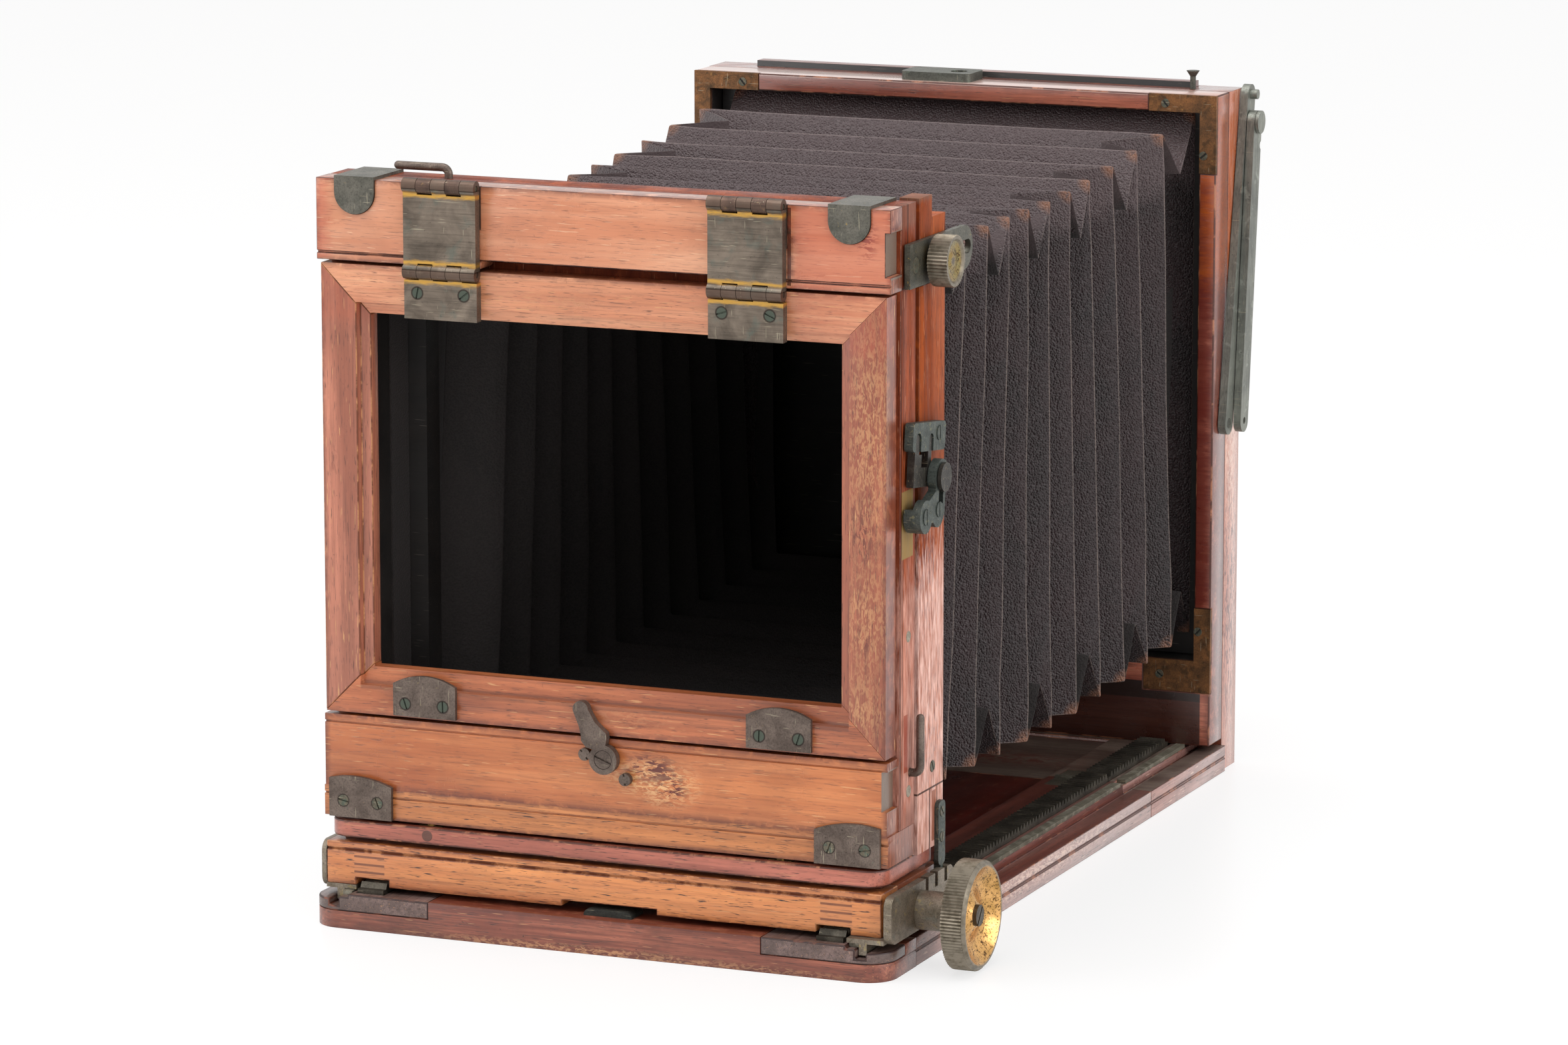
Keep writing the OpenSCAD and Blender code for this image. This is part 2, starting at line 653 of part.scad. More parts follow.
// The corner point that a side's panel uses: the sides fold full height where the top does not
function panel_at(v, side, c) = over_top(v) == (side % 2 == 0) ? flap_at(v, c) : valley_at(v, c);
function quad(a, b, c, d) = [[a, b, c], [a, c, d]];
function next(c) = (c + 1) % 4;
function last(c) = (c + 3) % 4;
module bellows() {
    corners = [0:3];
    points = concat(
        [for (c = corners) end_point(c, 0)],
        [for (k = [1:pleats]) each concat(
            [for (c = corners) ring_point(k, c, 0, 0)],
            [for (c = corners) valley_point(k, c)],
            [for (c = corners) flap_point(k, c)])],
        [for (c = corners) ring_point(pleats + 1, c, 0, 0)],
        [for (c = corners) end_point(c, leather_t)],
        [for (k = [1:pleats]) each concat(
            [for (c = corners) ring_point(k, c, 2 * leather_t, 2 * leather_t)],
            [for (c = corners) ring_point(k + 0.5, c, valley_in, valley_in)])],
        [for (c = corners) ring_point(pleats + 1, c, 2 * leather_t, 2 * leather_t)]);
    folds = [for (v = [1:pleats]) for (c = corners) each concat(
        quad(ridge_at(v, c), ridge_at(v, next(c)), panel_at(v, c, next(c)), panel_at(v, c, c)),
        quad(panel_at(v, c, c), panel_at(v, c, next(c)), ridge_at(v + 1, next(c)), ridge_at(v + 1, c)),
        [[ridge_at(v, c), panel_at(v, c, c), panel_at(v, last(c), c)],
            [panel_at(v, c, c), ridge_at(v + 1, c), panel_at(v, last(c), c)]],
        quad(inner_valley_at(v, c), inner_valley_at(v, next(c)), inner_ridge_at(v, next(c)),
            inner_ridge_at(v, c)),
        quad(inner_ridge_at(v + 1, c), inner_ridge_at(v + 1, next(c)), inner_valley_at(v, next(c)),
            inner_valley_at(v, c)))];
    ends = [for (c = corners) each concat(
        quad(c, next(c), ridge_at(1, next(c)), ridge_at(1, c)),
        quad(inner_ridge_at(1, c), inner_ridge_at(1, next(c)), inner_at + next(c), inner_at + c),
        quad(inner_at + c, inner_at + next(c), next(c), c),
        quad(ridge_at(pleats + 1, c), ridge_at(pleats + 1, next(c)), inner_ridge_at(pleats + 1, next(c)),
            inner_ridge_at(pleats + 1, c)))];
    color("#2d2a2a") polyhedron(points, concat(folds, ends));
}
liner_set = 11;
liner_y = standard_y + liner_set;
liner_in = 8;
module bellows_liner() {
    color("#1a1716") difference() {
        block(-standard_open_hw, standard_open_hw, liner_y, bellows_y0 - gap, standard_open_z, standard_open_top);
        block(-standard_open_hw + liner_in, standard_open_hw - liner_in, 0, standard_front + 1,
            standard_open_z + liner_in, standard_open_top - liner_in);
    }
}
sleeve_gap = 0.6;
module swing_sleeve() {
    sleeve_in = sleeve_gap + leather_t;
    color("#2d2a2a") difference() {
        block(-standard_open_hw + sleeve_gap, standard_open_hw - sleeve_gap, back_front, liner_y - gap,
            standard_open_z + sleeve_gap, standard_open_top - sleeve_gap);
        block(-standard_open_hw + sleeve_in, standard_open_hw - sleeve_in, 0, standard_front + 1,
            standard_open_z + sleeve_in, standard_open_top - sleeve_in);
    }
}

// Folding stay on the right: a link that leans on the box and a second that hangs from its top
stay_pin_r = 1.8;
module stay_stud() {
    color("#4b5550") {
        rod_x(box_hw, stay_x + stay_t + 0.1, stay_y, stay_z, stay_pin_r - bore_play);
    }
}
module link_bar(x, y0, z0, y1, z1) {
    along_x(x, x + stay_t) {
        translate([y0, z0]) circle(stay_w / 2);
        translate([y1, z1]) circle(stay_w / 2);
        translate([y0, z0]) rotate(-atan2(y1 - y0, z1 - z0))
            translate([-stay_w / 2, 0]) square([stay_w, norm([y1 - y0, z1 - z0])]);
    }
}
stay_over = 9;
stay_tip_y = stay_y + (stay_l + stay_over) * sin(stay_lean);
stay_tip_z = stay_z + (stay_l + stay_over) * cos(stay_lean);
module stay_inner() {
    color("#4b5550") {
        difference() {
            link_bar(stay_x, stay_y, stay_z, stay_tip_y, stay_tip_z);
            rod_x(stay_x - 1, stay_x + stay_t + 1, stay_y, stay_z, stay_pin_r);
        }
        rod_x(stay_x, stay_out_x + stay_t + 0.2, elbow_y, elbow_z, stay_pin_r - bore_play);
        rod_x(stay_out_x + stay_t + 0.2, stay_out_x + stay_t + 1.3, elbow_y, elbow_z, stay_w / 2);
        rod_x(stay_x, stay_x + stay_t + 2.5, stay_tip_y - 0.4, stay_tip_z + 0.6, 1.7);
    }
}
stay_end_y = elbow_y - stay_hang * sin(stay_hang_lean);
stay_end_z = elbow_z - stay_hang * cos(stay_hang_lean);
module stay_outer() {
    color("#4b5550") difference() {
        link_bar(stay_out_x, elbow_y, elbow_z, stay_end_y, stay_end_z);
        rod_x(stay_out_x - 1, stay_out_x + stay_t + 1, elbow_y, elbow_z, stay_pin_r);
        rod_x(stay_out_x - 1, stay_out_x + stay_t + 1, elbow_y + stay_w / 2 - 0.4, elbow_z - 8.5, 1.5);
        rod_x(stay_out_x - 1, stay_out_x + stay_t + 1, stay_end_y, stay_end_z, 1.2);
    }
}

// Rising panel with its square lens board, flange and turn button
module rising_panel() {
    color("#45160f") difference() {
        block(-panel_hw, panel_hw, panel_y, panel_y + panel_t, panel_z, panel_top);
        block(-lens_board_w / 2, lens_board_w / 2, panel_y + 2, panel_y + panel_t + 1,
            lens_z - lens_board_w / 2, lens_z + lens_board_w / 2);
        rod_y(0, panel_y - 1, panel_y + panel_t + 1, lens_z, flange_r + 10);
        rod_y(0, panel_y + 1, panel_y + panel_t + 1, lens_button_z, button_stud_r + bore_play);
    }
}
module lens_board() {
    color("#6e2b1c") difference() {
        block(-lens_board_w / 2, lens_board_w / 2, panel_y + 2, panel_y + panel_t,
            lens_z - lens_board_w / 2, lens_z + lens_board_w / 2);
        rod_y(0, panel_y - 1, front_y, lens_z, flange_r + 3);
    }
}
module lens_flange() {
    color("#8c8060") difference() {
        union() {
            rod_y(0, panel_y + panel_t, panel_y + panel_t + 3, lens_z, flange_r + 8);
            rod_y(0, panel_y + 2, panel_y + panel_t, lens_z, flange_r + 3);
        }
        rod_y(0, panel_y - 1, front_y + 9, lens_z, flange_r);
    }
}
module lens_board_button() {
    color("#6c655a") {
        along_y(panel_y + panel_t + 0.2, panel_y + panel_t + 2) {
            translate([0, lens_button_z]) circle(3.5);
            translate([0, lens_button_z - 8]) circle(2.5);
            translate([-2.5, lens_button_z - 8]) square([5, 8]);
        }
        rod_y(0, panel_y + 1.5, panel_y + panel_t + 1, lens_button_z, button_stud_r);
    }
}

// Carriage: a rear rail that shows, side rails that hold the pinions, and a front rail
rear_rail_t = 14;
rear_rail_y = -2;
module rack_notches(y0, y1) {
    both_sides() block(notch_x, notch_out_x, y0, y1, carriage_z - 1, notch_z);
}
module carriage_rear_rail() {
    color("#d68650") difference() {
        block(-carriage_hw, carriage_hw, rear_rail_y, rear_rail_y + rear_rail_t, carriage_z, deck_z);
        rack_notches(rear_rail_y - 1, rear_rail_y + rear_rail_t + 1);
        block(latch_x0 - 8, latch_x1 + 8, rear_rail_y - 1, rear_rail_y + rear_rail_t + 1, carriage_z - 1,
            bed_t + latch_h + 1.6);
        block(-body_hw, body_hw, rear_rail_y - 1, rear_rail_y + groove_w, deck_z - bead_w - groove_w,
            deck_z - bead_w);
    }
}
module carriage_rails() {
    color("#b8683c") block(-carriage_hw + carriage_rail_w, carriage_hw - carriage_rail_w, standard_front - 12,
        standard_front, carriage_z, deck_z);
    color("#b8683c") difference() {
        both_sides() block(carriage_hw - carriage_rail_w, carriage_hw, rear_rail_y + rear_rail_t, standard_front,
            carriage_z, deck_z);
        rack_notches(rear_rail_y, standard_front + 1);
        rod_x(-body_hw, body_hw, shaft_y, shaft_z, shaft_r + bore_play);
        both_sides() {
            rod_x(notch_x, notch_out_x, shaft_y, shaft_z, pinion_tip_r + 0.7);
            block(notch_x, notch_out_x, shaft_y - pinion_tip_r - 0.7, shaft_y + pinion_tip_r + 0.7,
                carriage_z - 1, shaft_z);
        }
    }
}
module carriage_deck() {
    color("#2a1712") block(-carriage_hw + 3, carriage_hw - 3, 5, standard_front - 1, deck_z, sole_z);
}
// Side brackets: an outer plate, a runner that lies on the guide strip and a hook in the groove
module bracket_shape(x0, x1, y0) {
    difference() {
        union() {
            along_x(x0, x1) difference() {
                round_rect(y0, bracket_front, guide_top + runner_gap, bracket_top, 3.5);
                for (k = [0:2]) translate([notch_y + notch_step * k - notch_w / 2, bracket_top - 4.5])
                    square([notch_w, 6]);
            }
            block(guide_x - guide_w - 0.5, x0 + eps, y0, bracket_front, guide_top + runner_gap, carriage_z);
            block(guide_x + 0.4, lip_x - 0.4, y0, bracket_front, lip_t - 1.2, carriage_z - eps);
        }
        rod_x(0, bracket_out + 20, shaft_y, shaft_z, shaft_r + bore_play);
    }
}
module bracket_right() {
    color("#696258") {
        bracket_shape(bracket_x, bracket_out, bracket_y);
        difference() {
            rod_x(bracket_out, bracket_out + boss_l, shaft_y, shaft_z, boss_r);
            rod_x(0, bracket_out + 20, shaft_y, shaft_z, shaft_r + bore_play);
        }
    }
}
module bracket_left() {
    color("#696258") mirror([1, 0, 0]) bracket_shape(bracket_left_x, bracket_left_out, rear_rail_y);
}
module sole_board() {
    color("#aa6455") difference() {
        translate([0, 0, sole_z]) linear_extrude(sole_t)
            round_rect(-carriage_hw - 0.1, carriage_hw + 0.1, -1.5, standard_front, 7);
        both_sides() block(lug_x - 4, lug_x + 4, 1.5, swing_y + 5, sole_top - 1.2, sole_top + 1);
    }
}
// The back tilts on pins through these lugs, which stand in slots under the lower rail
module swing_lugs() {
    color("#7d7358") both_sides() difference() {
        union() {
            block(lug_x - 4, lug_x + 4, 1.5, swing_y + 5, sole_top - 1.2, sole_top);
            along_x(lug_x - lug_t / 2, lug_x + lug_t / 2) {
                translate([swing_y, swing_z]) circle(lug_r);
                translate([swing_y - lug_r, sole_top - 1.2]) square([2 * lug_r, swing_z - sole_top + 1.2]);
            }
        }
        rod_x(lug_x - 5, lug_x + 5, swing_y, swing_z, swing_pin_r + bore_play);
    }
}
standard_drop = 6.3;
stop_w = 6.6;
stop_d = 10.4;
module standard_frame() {
    color("#c8703c") difference() {
        union() {
            block(-body_hw, body_hw, standard_y, standard_front, sole_top, back_top - standard_drop);
            block(body_hw - stop_w, body_hw, standard_y, standard_y + stop_d, back_top - standard_drop - eps,
                back_top + 0.6);
        }
        block(-standard_open_hw, standard_open_hw, standard_y - 1, standard_front + 1, standard_open_z,
            standard_open_top);
        both_sides() rod_x(body_hw - 8, body_hw + 1, stud_y, stud_z, stud_r);
    }
}
locator_y = notch_y + 2 * notch_step;
locator_w = 5.8;
locator_rise = 14;
module locating_strips() {
    color("#8b8f88") both_sides() {
        along_x(body_hw, body_hw + plate_t) round_rect(locator_y - locator_w / 2, locator_y + locator_w / 2,
            sole_z - 1, sole_top + locator_rise, 2);
        block(body_hw - 0.9, body_hw + plate_t, locator_y - 1, locator_y + 1, strip_foot_z, sole_z + 3);
    }
}
module swing_studs() {
    color("#7d7358") both_sides() rod_x(body_hw - 8, swing_plate_out + 6, stud_y, stud_z, stud_r);
}

// Side catch, set a little askew: a two-fingered bolt that slides up into a notched keeper
keeper_y0 = catch_y - 8.2;
keeper_y1 = catch_y + 19.1;
keeper_z = catch_z + 35.8;
keeper_h = 9;
finger_a = keeper_y0 + 4.8;
finger_b = keeper_y0 + 15.5;
finger_top = keeper_z + 3.6;
disc_y = finger_b + 3.7;
disc_z = keeper_z - 8;
lobe_z = keeper_z - 20;
web_z = disc_z - 3;
web_h = 6;
catch_out = catch_x + bolt_t + 3;
catch_skew = 7;
module skewed() {
    translate([0, disc_y, disc_z]) rotate([-catch_skew, 0, 0]) translate([0, -disc_y, -disc_z]) children();
}
module raised_screw(x, y, z, r) {
    difference() {
        rod_x(x - 1, x + 0.3, y, z, r);
        translate([x + 0.3, y, z]) rotate([8, 0, 0]) cube([1, 0.6, 2 * r + 1], center = true);
    }
}
module catch_keeper() {
    color("#6f6f66") skewed() {
        along_x(catch_x, catch_x + bolt_t + 0.4) difference() {
            round_rect(keeper_y0, keeper_y1, keeper_z, keeper_z + keeper_h, 1.6);
            for (slot = [[finger_a, 2.2], [finger_b, 1.8]]) {
                translate([slot[0], finger_top]) circle(slot[1]);
                translate([slot[0] - slot[1], keeper_z - 1]) square([2 * slot[1], finger_top - keeper_z + 1]);
            }
        }
        raised_screw(catch_x + bolt_t + 0.4, keeper_y1 - 5.4, keeper_z + 5.4, 2.3);
        block(body_hw, catch_x + eps, standard_y + 2, keeper_y1 - 1, keeper_z + 1, keeper_z + keeper_h - 1);
    }
}
module catch_base() {
    lobe_a = finger_a + 2.6;
    lobe_b = finger_b + 2;
    color("#5f5f56") skewed() {
        difference() {
            along_x(catch_x, catch_out) {
                translate([lobe_a, lobe_z]) circle(5.2);
                translate([lobe_b, lobe_z + 1.4]) circle(5);
                translate([lobe_a, lobe_z - 2]) square([lobe_b - lobe_a, 7]);
                translate([disc_y, disc_z]) circle(5.6);
                translate([disc_y - 4.4, lobe_z]) square([8, disc_z - lobe_z]);
                polygon([[lobe_a - 5, lobe_z + 1], [disc_y - 4.4, lobe_z + 7.8], [disc_y - 4.4, lobe_z + 1]]);
            }
            along_x(catch_x - 1, catch_x + bolt_t + gap) translate([finger_a - 9, web_z - catch_drop - 0.4])
                square([40, 30]);
            along_x(catch_x, catch_out + 1) translate([disc_y - 1.8, disc_z - catch_drop - 1.9])
                square([3.6, catch_drop + 3.8]);
        }
        raised_screw(catch_out, lobe_a, lobe_z, 2.6);
        raised_screw(catch_out, lobe_b + 0.4, lobe_z + 2, 2.4);
        block(body_hw, catch_x + eps, standard_y + 2, lobe_b + 4, lobe_z - 3, web_z - catch_drop - 1);
    }
}
module catch_bolt() {
    color("#3e3c36") skewed() {
        along_x(catch_x + 0.1, catch_x + bolt_t) {
            translate([finger_a - 1.8, web_z]) square([disc_y + 4 - finger_a + 1.8, web_h]);
            translate([finger_a - 1.8, web_z]) square([5.8, keeper_z - web_z - 1]);
            for (finger = [[finger_a, 1.7], [finger_b, 1.4]]) {
                translate([finger[0] - finger[1], web_z]) square([2 * finger[1], finger_top - web_z]);
                translate([finger[0], finger_top]) circle(finger[1]);
            }
        }
        rod_x(catch_x + 1, catch_out + 0.4, disc_y, disc_z, 1.5);
        rod_x(catch_out + 0.3, catch_out + 1.5, disc_y, disc_z, 4.6);
    }
}

// Focusing movement: one shaft through the brackets, two pinions and a dished, knurled knob
hub_r = 3.9;
hub_sink = 2.3;
knob_screw_r = 3.4;
module pinion_shaft() {
    color("#55504a") {
        rod_x(-bracket_left_out + 0.2, knob_out - hub_sink + 0.5, shaft_y, shaft_z, shaft_r);
        difference() {
            rod_x(knob_out - hub_sink + 0.02, knob_out - hub_sink + 1.2, shaft_y, shaft_z, knob_screw_r);
            translate([knob_out - hub_sink + 1.2, shaft_y, shaft_z]) rotate([-38, 0, 0])
                cube([1, 0.8, 2 * knob_screw_r + 1], center = true);
        }
    }
}
involute_steps = 4;
function pinion_tooth(k) = let (a = -90 + 360 * k / pinion_n) concat(
    [polar(pinion_root_r, a - half_angle(pinion_base_r))],
    [for (i = [0:involute_steps]) let (r = mix(pinion_base_r, pinion_tip_r, i / involute_steps))
        polar(r, a - half_angle(r))],
    [for (i = [involute_steps:-1:0]) let (r = mix(pinion_base_r, pinion_tip_r, i / involute_steps))
        polar(r, a + half_angle(r))],
    [polar(pinion_root_r, a + half_angle(pinion_base_r))]);
module pinions() {
    color("#8c8060") both_sides() difference() {
        along_x(rack_x - rack_w, rack_x) translate([shaft_y, shaft_z])
            polygon(pairs([for (k = [0:pinion_n - 1]) pinion_tooth(k)]));
        rod_x(0, bed_hw, shaft_y, shaft_z, shaft_r);
    }
}
function knurl(r, count, depth) = [for (k = [0:2 * count - 1])
    polar(r - (k % 2) * depth, 180 * k / count)];
dish_steps = 12;
// Depth of the dished face between its hub, t = 0, and its rim, t = 1
function dish(t) = mix(hub_sink, 0, t) + 3.1 * sin(180 * t);
module focus_knob() {
    rim_r = knob_r - 1.9;
    color("#b9924e") translate([knob_x, shaft_y, shaft_z]) difference() {
        union() {
            rotate([90, 0, 90]) linear_extrude(knob_w - 1) polygon(knurl(knob_r, knob_grooves, 0.45));
            rotate([90, 0, 90]) translate([0, 0, knob_w - 1]) cylinder(h = 1, r1 = knob_r - 0.5, r2 = knob_r - 1.2);
        }
        rotate([0, 90, 0]) rotate_extrude($fn = 96) polygon(concat([[0, knob_w - hub_sink]],
            [for (k = [0:dish_steps]) [mix(hub_r, rim_r, k / dish_steps), knob_w - dish(k / dish_steps) + eps]],
            [[rim_r, knob_w + 1], [0, knob_w + 1]]));
        rotate([0, 90, 0]) cylinder(h = 3 * knob_w, r = shaft_r, center = true);
    }
}

// Back: strip frame, boards above and below the screen frame, and the lower rail
top_pin_x = -strip_hw + 39.65;
top_pin_y = strip_y + 3.5;
side_pin_y = strip_y + 9;
side_pin_z = bottom_board_z + 17;
lock_pin_r = 1.3;
module back_strip_frame() {
    color("#b0563a") difference() {
        block(-strip_hw, strip_hw, strip_y, back_front, bottom_board_z, back_top);
        block(-strip_open_hw, strip_open_hw, strip_y - 1, back_front + 1, strip_open_z, strip_open_top);
        rod_z(top_pin_x, top_pin_y, back_top - 14, back_top + 1, lock_pin_r + bore_play);
        rod_x(strip_hw - 12, strip_hw + 1, side_pin_y, side_pin_z, lock_pin_r + bore_play);
        both_sides() rod_x(strip_hw - 8, strip_hw + 1, plate_pivot_y, plate_pivot_z, 1.4);
    }
}
module lower_rail() {
    color("#d68650") difference() {
        block(-strip_hw, strip_hw, 0, back_front, back_z, bottom_board_z);
        block(-body_hw, body_hw, -1, groove_w, bottom_board_z - bead_w - groove_w, bottom_board_z - bead_w);
        both_sides() {
            block(lug_x - lug_t / 2 - 0.4, lug_x + lug_t / 2 + 0.4, swing_y - 3.1, swing_y + 4.5, back_z - 1,
                swing_z + lug_r + 0.8);
            rod_x(lug_x - 6, lug_x + 6, swing_y, swing_z, swing_pin_r);
        }
        for (p = corner_screws) rear_hole(p[0], -plate_t, p[1]);
    }
}
module back_pins() {
    color("#7d7358") {
        both_sides() rod_x(lug_x - 6, lug_x + 6, swing_y, swing_z, swing_pin_r);
        for (x = [hinge_left_x, hinge_right_x])
            rod_x(x - hinge_w / 2 + 0.4, x + hinge_w / 2 - 0.4, barrel_y, upper_axis_z, hinge_pin_r);
        both_sides() {
            rod_x(strip_hw - 8, swing_plate_out - 0.8, plate_pivot_y, plate_pivot_z, 1.4);
            rod_x(swing_plate_out - 0.8, swing_plate_out, plate_pivot_y, plate_pivot_z, 2.6);
        }
        for (p = corner_screws) rear_screw(p[0], -plate_t, p[1], 20 * p[0]);
    }
}
end_notch_d = 1.8;
module bottom_board() {
    color("#d68650") difference() {
        block(-frame_hw - 0.5, frame_hw + 0.5, 0, board_t, bottom_board_z, frame_z - frame_gap);
        block(-body_hw, body_hw, -1, groove_w, frame_z - frame_gap - bead_w - groove_w,
            frame_z - frame_gap - bead_w);
        for (p = button_screw_sites) rod_y(button_x + p[0], -1, 7, button_z + p[1], p[2]);
        block(frame_hw + 0.5 - end_notch_d, body_hw, -1, board_t + 1, bottom_board_z + 0.34 * bottom_board_h,
            bottom_board_z + 0.88 * bottom_board_h);
    }
}
finger_slot_h = 2.6;
upper_leaf_in = 1.1;
upper_leaf_h = 13;
module top_board() {
    color("#de9673") difference() {
        block(-body_hw, body_hw, 0, board_t, top_board_z, back_top);
        block(-body_hw - 1, body_hw + 1, -1, groove_w, top_board_z + bead_w, top_board_z + bead_w + groove_w);
        block(hinge_left_x + hinge_w / 2, hinge_right_x - hinge_w / 2, -1, board_t + 1, top_board_z - 1,
            top_board_z + finger_slot_h);
        strap_space();
        block(body_hw - end_notch_d, body_hw + 1, -1, board_t + 1, top_board_z + 0.2 * top_board_h,
            top_board_z + 0.72 * top_board_h);
        for (x = [hinge_left_x, hinge_right_x]) block(x - hinge_w / 2, x + hinge_w / 2, -1, upper_leaf_in,
            upper_axis_z - upper_leaf_h, back_top + 1);
    }
}
corner_w = 21.9;
corner_h = 13.5;
corner_arc_r = 35.5;
corner_out_x = strip_hw - 2.2;
corner_in_x = corner_out_x - corner_w;
corner_screws = [for (s = [-1, 1]) each [[s * (corner_out_x - 5), back_z + 5.4],
    [s * (corner_in_x + 5), back_z + 5.4]]];
module corner_plates() {
    color("#5f5a4e") difference() {
        both_sides() along_y(-plate_t, 0) intersection() {
            translate([corner_in_x, back_z]) square([corner_w, corner_h]);
            translate([mix(corner_in_x, corner_out_x, 0.62), back_z + corner_h - corner_arc_r])
                circle(corner_arc_r, $fn = 120);
        }
        for (p = corner_screws) rear_hole(p[0], -plate_t, p[1]);
    }
}
strap_in_x = body_hw - 20.4;
strap_out_x = body_hw - 6.6;
strap_drop = 11;
strap_t = 1;
strap_back = 21;
module strap_space() {
    for (s = [-1, 1]) {
        along_y(-1, 0.4) {
            translate([s * (strap_in_x + strap_out_x) / 2, back_top - strap_drop + 6.9]) circle(6.9);
            translate([s < 0 ? -strap_out_x : strap_in_x, back_top - strap_drop + 6.9])
                square([strap_out_x - strap_in_x, strap_drop]);
        }
    }
}
module corner_straps() {
    color("#a98a5a") {
        intersection() {
            strap_space();
            block(-body_hw, body_hw, -strap_t + 0.4, 0.4, top_board_z, back_top + strap_t);
        }
        both_sides() block(strap_in_x, strap_out_x, -strap_t + 0.4, strap_back, back_top, back_top + strap_t);
    }
}

// Double hinges: a leaf let into the top board, a loose link and a leaf on the screen frame
module knuckle(x, k, z, r) {
    rod_x(x - hinge_w / 2 + (k - 1) * knuckle_w + 0.08, x - hinge_w / 2 + k * knuckle_w - 0.08, barrel_y, z, r);
}
module knuckle_room(x, k, z) {
    translate([x - hinge_w / 2 + (k - 1) * knuckle_w - 0.08, barrel_y, z]) rotate([0, 90, 0])
        cylinder(h = knuckle_w + 0.16, r = barrel_r + 0.2);
}
module upper_hinge_leaves() {
    color("#5f5a4e") for (x = [hinge_left_x, hinge_right_x]) difference() {
        union() {
            for (k = [2, 4]) {
                knuckle(x, k, upper_axis_z, barrel_r);
                block(x - hinge_w / 2 + (k - 1) * knuckle_w + 0.08, x - hinge_w / 2 + k * knuckle_w - 0.08,
                    barrel_y, 0, upper_axis_z - 1.9, upper_axis_z + 0.4);
            }
            difference() {
                block(x - hinge_w / 2, x + hinge_w / 2, -0.3, upper_leaf_in, upper_axis_z - upper_leaf_h,
                    upper_axis_z + 0.4);
                for (k = [1, 3, 5]) knuckle_room(x, k, upper_axis_z);
            }
        }
        rod_x(x - hinge_w, x + hinge_w, barrel_y, upper_axis_z, hinge_pin_r);
    }
}
link_y0 = barrel_y - 1;
link_y1 = -0.5;
module hinge_links() {
    color("#696258") for (x = [hinge_left_x, hinge_right_x]) difference() {
        union() {
            difference() {
                block(x - hinge_w / 2 + 0.08, x + hinge_w / 2 - 0.08, link_y0, link_y1, lower_axis_z, upper_axis_z);
                for (k = [2, 4]) {
                    knuckle_room(x, k, lower_axis_z);
                    knuckle_room(x, k, upper_axis_z);
                    block(x - hinge_w / 2 + (k - 1) * knuckle_w - 0.08, x - hinge_w / 2 + k * knuckle_w + 0.08,
                        -6, 1, upper_axis_z - barrel_r - 0.3, upper_axis_z + 1);
                    block(x - hinge_w / 2 + (k - 1) * knuckle_w - 0.08, x - hinge_w / 2 + k * knuckle_w + 0.08,
                        -6, 1, lower_axis_z - 1, lower_axis_z + barrel_r + 0.3);
                }
            }
            for (k = [1, 3, 5]) {
                knuckle(x, k, upper_axis_z, barrel_r);
                knuckle(x, k, lower_axis_z, barrel_r);
            }
        }
        rod_x(x - hinge_w, x + hinge_w, barrel_y, upper_axis_z, hinge_pin_r + bore_play);
        rod_x(x - hinge_w, x + hinge_w, barrel_y, lower_axis_z, hinge_pin_r + bore_play);
    }
}
frame_leaf_z = ledge_top;
leaf_screws = [for (x = [hinge_left_x, hinge_right_x]) each [[x - 8, frame_leaf_z + 8.2],
    [x + 8, frame_leaf_z + 8.2]]];
module screen_hinge_leaves() {
    color("#7a705a") difference() {
        for (x = [hinge_left_x, hinge_right_x]) difference() {
            union() {
                block(x - hinge_w / 2, x + hinge_w / 2, leaf_y, 0, frame_leaf_z, lower_axis_z - barrel_r - 0.25);
                for (k = [2, 4]) {
                    knuckle(x, k, lower_axis_z, barrel_r);
                    block(x - hinge_w / 2 + (k - 1) * knuckle_w + 0.08, x - hinge_w / 2 + k * knuckle_w - 0.08,
                        leaf_y, -0.3, frame_leaf_z + 5, lower_axis_z);
                }
            }
            rod_x(x - hinge_w, x + hinge_w, barrel_y, lower_axis_z, hinge_pin_r);
        }
        for (p = leaf_screws) rear_hole(p[0], leaf_y, p[1]);
    }
    color("#7a705a") for (x = [hinge_left_x, hinge_right_x])
        rod_x(x - hinge_w / 2 + 0.4, x + hinge_w / 2 - 0.4, barrel_y, lower_axis_z, hinge_pin_r);
}

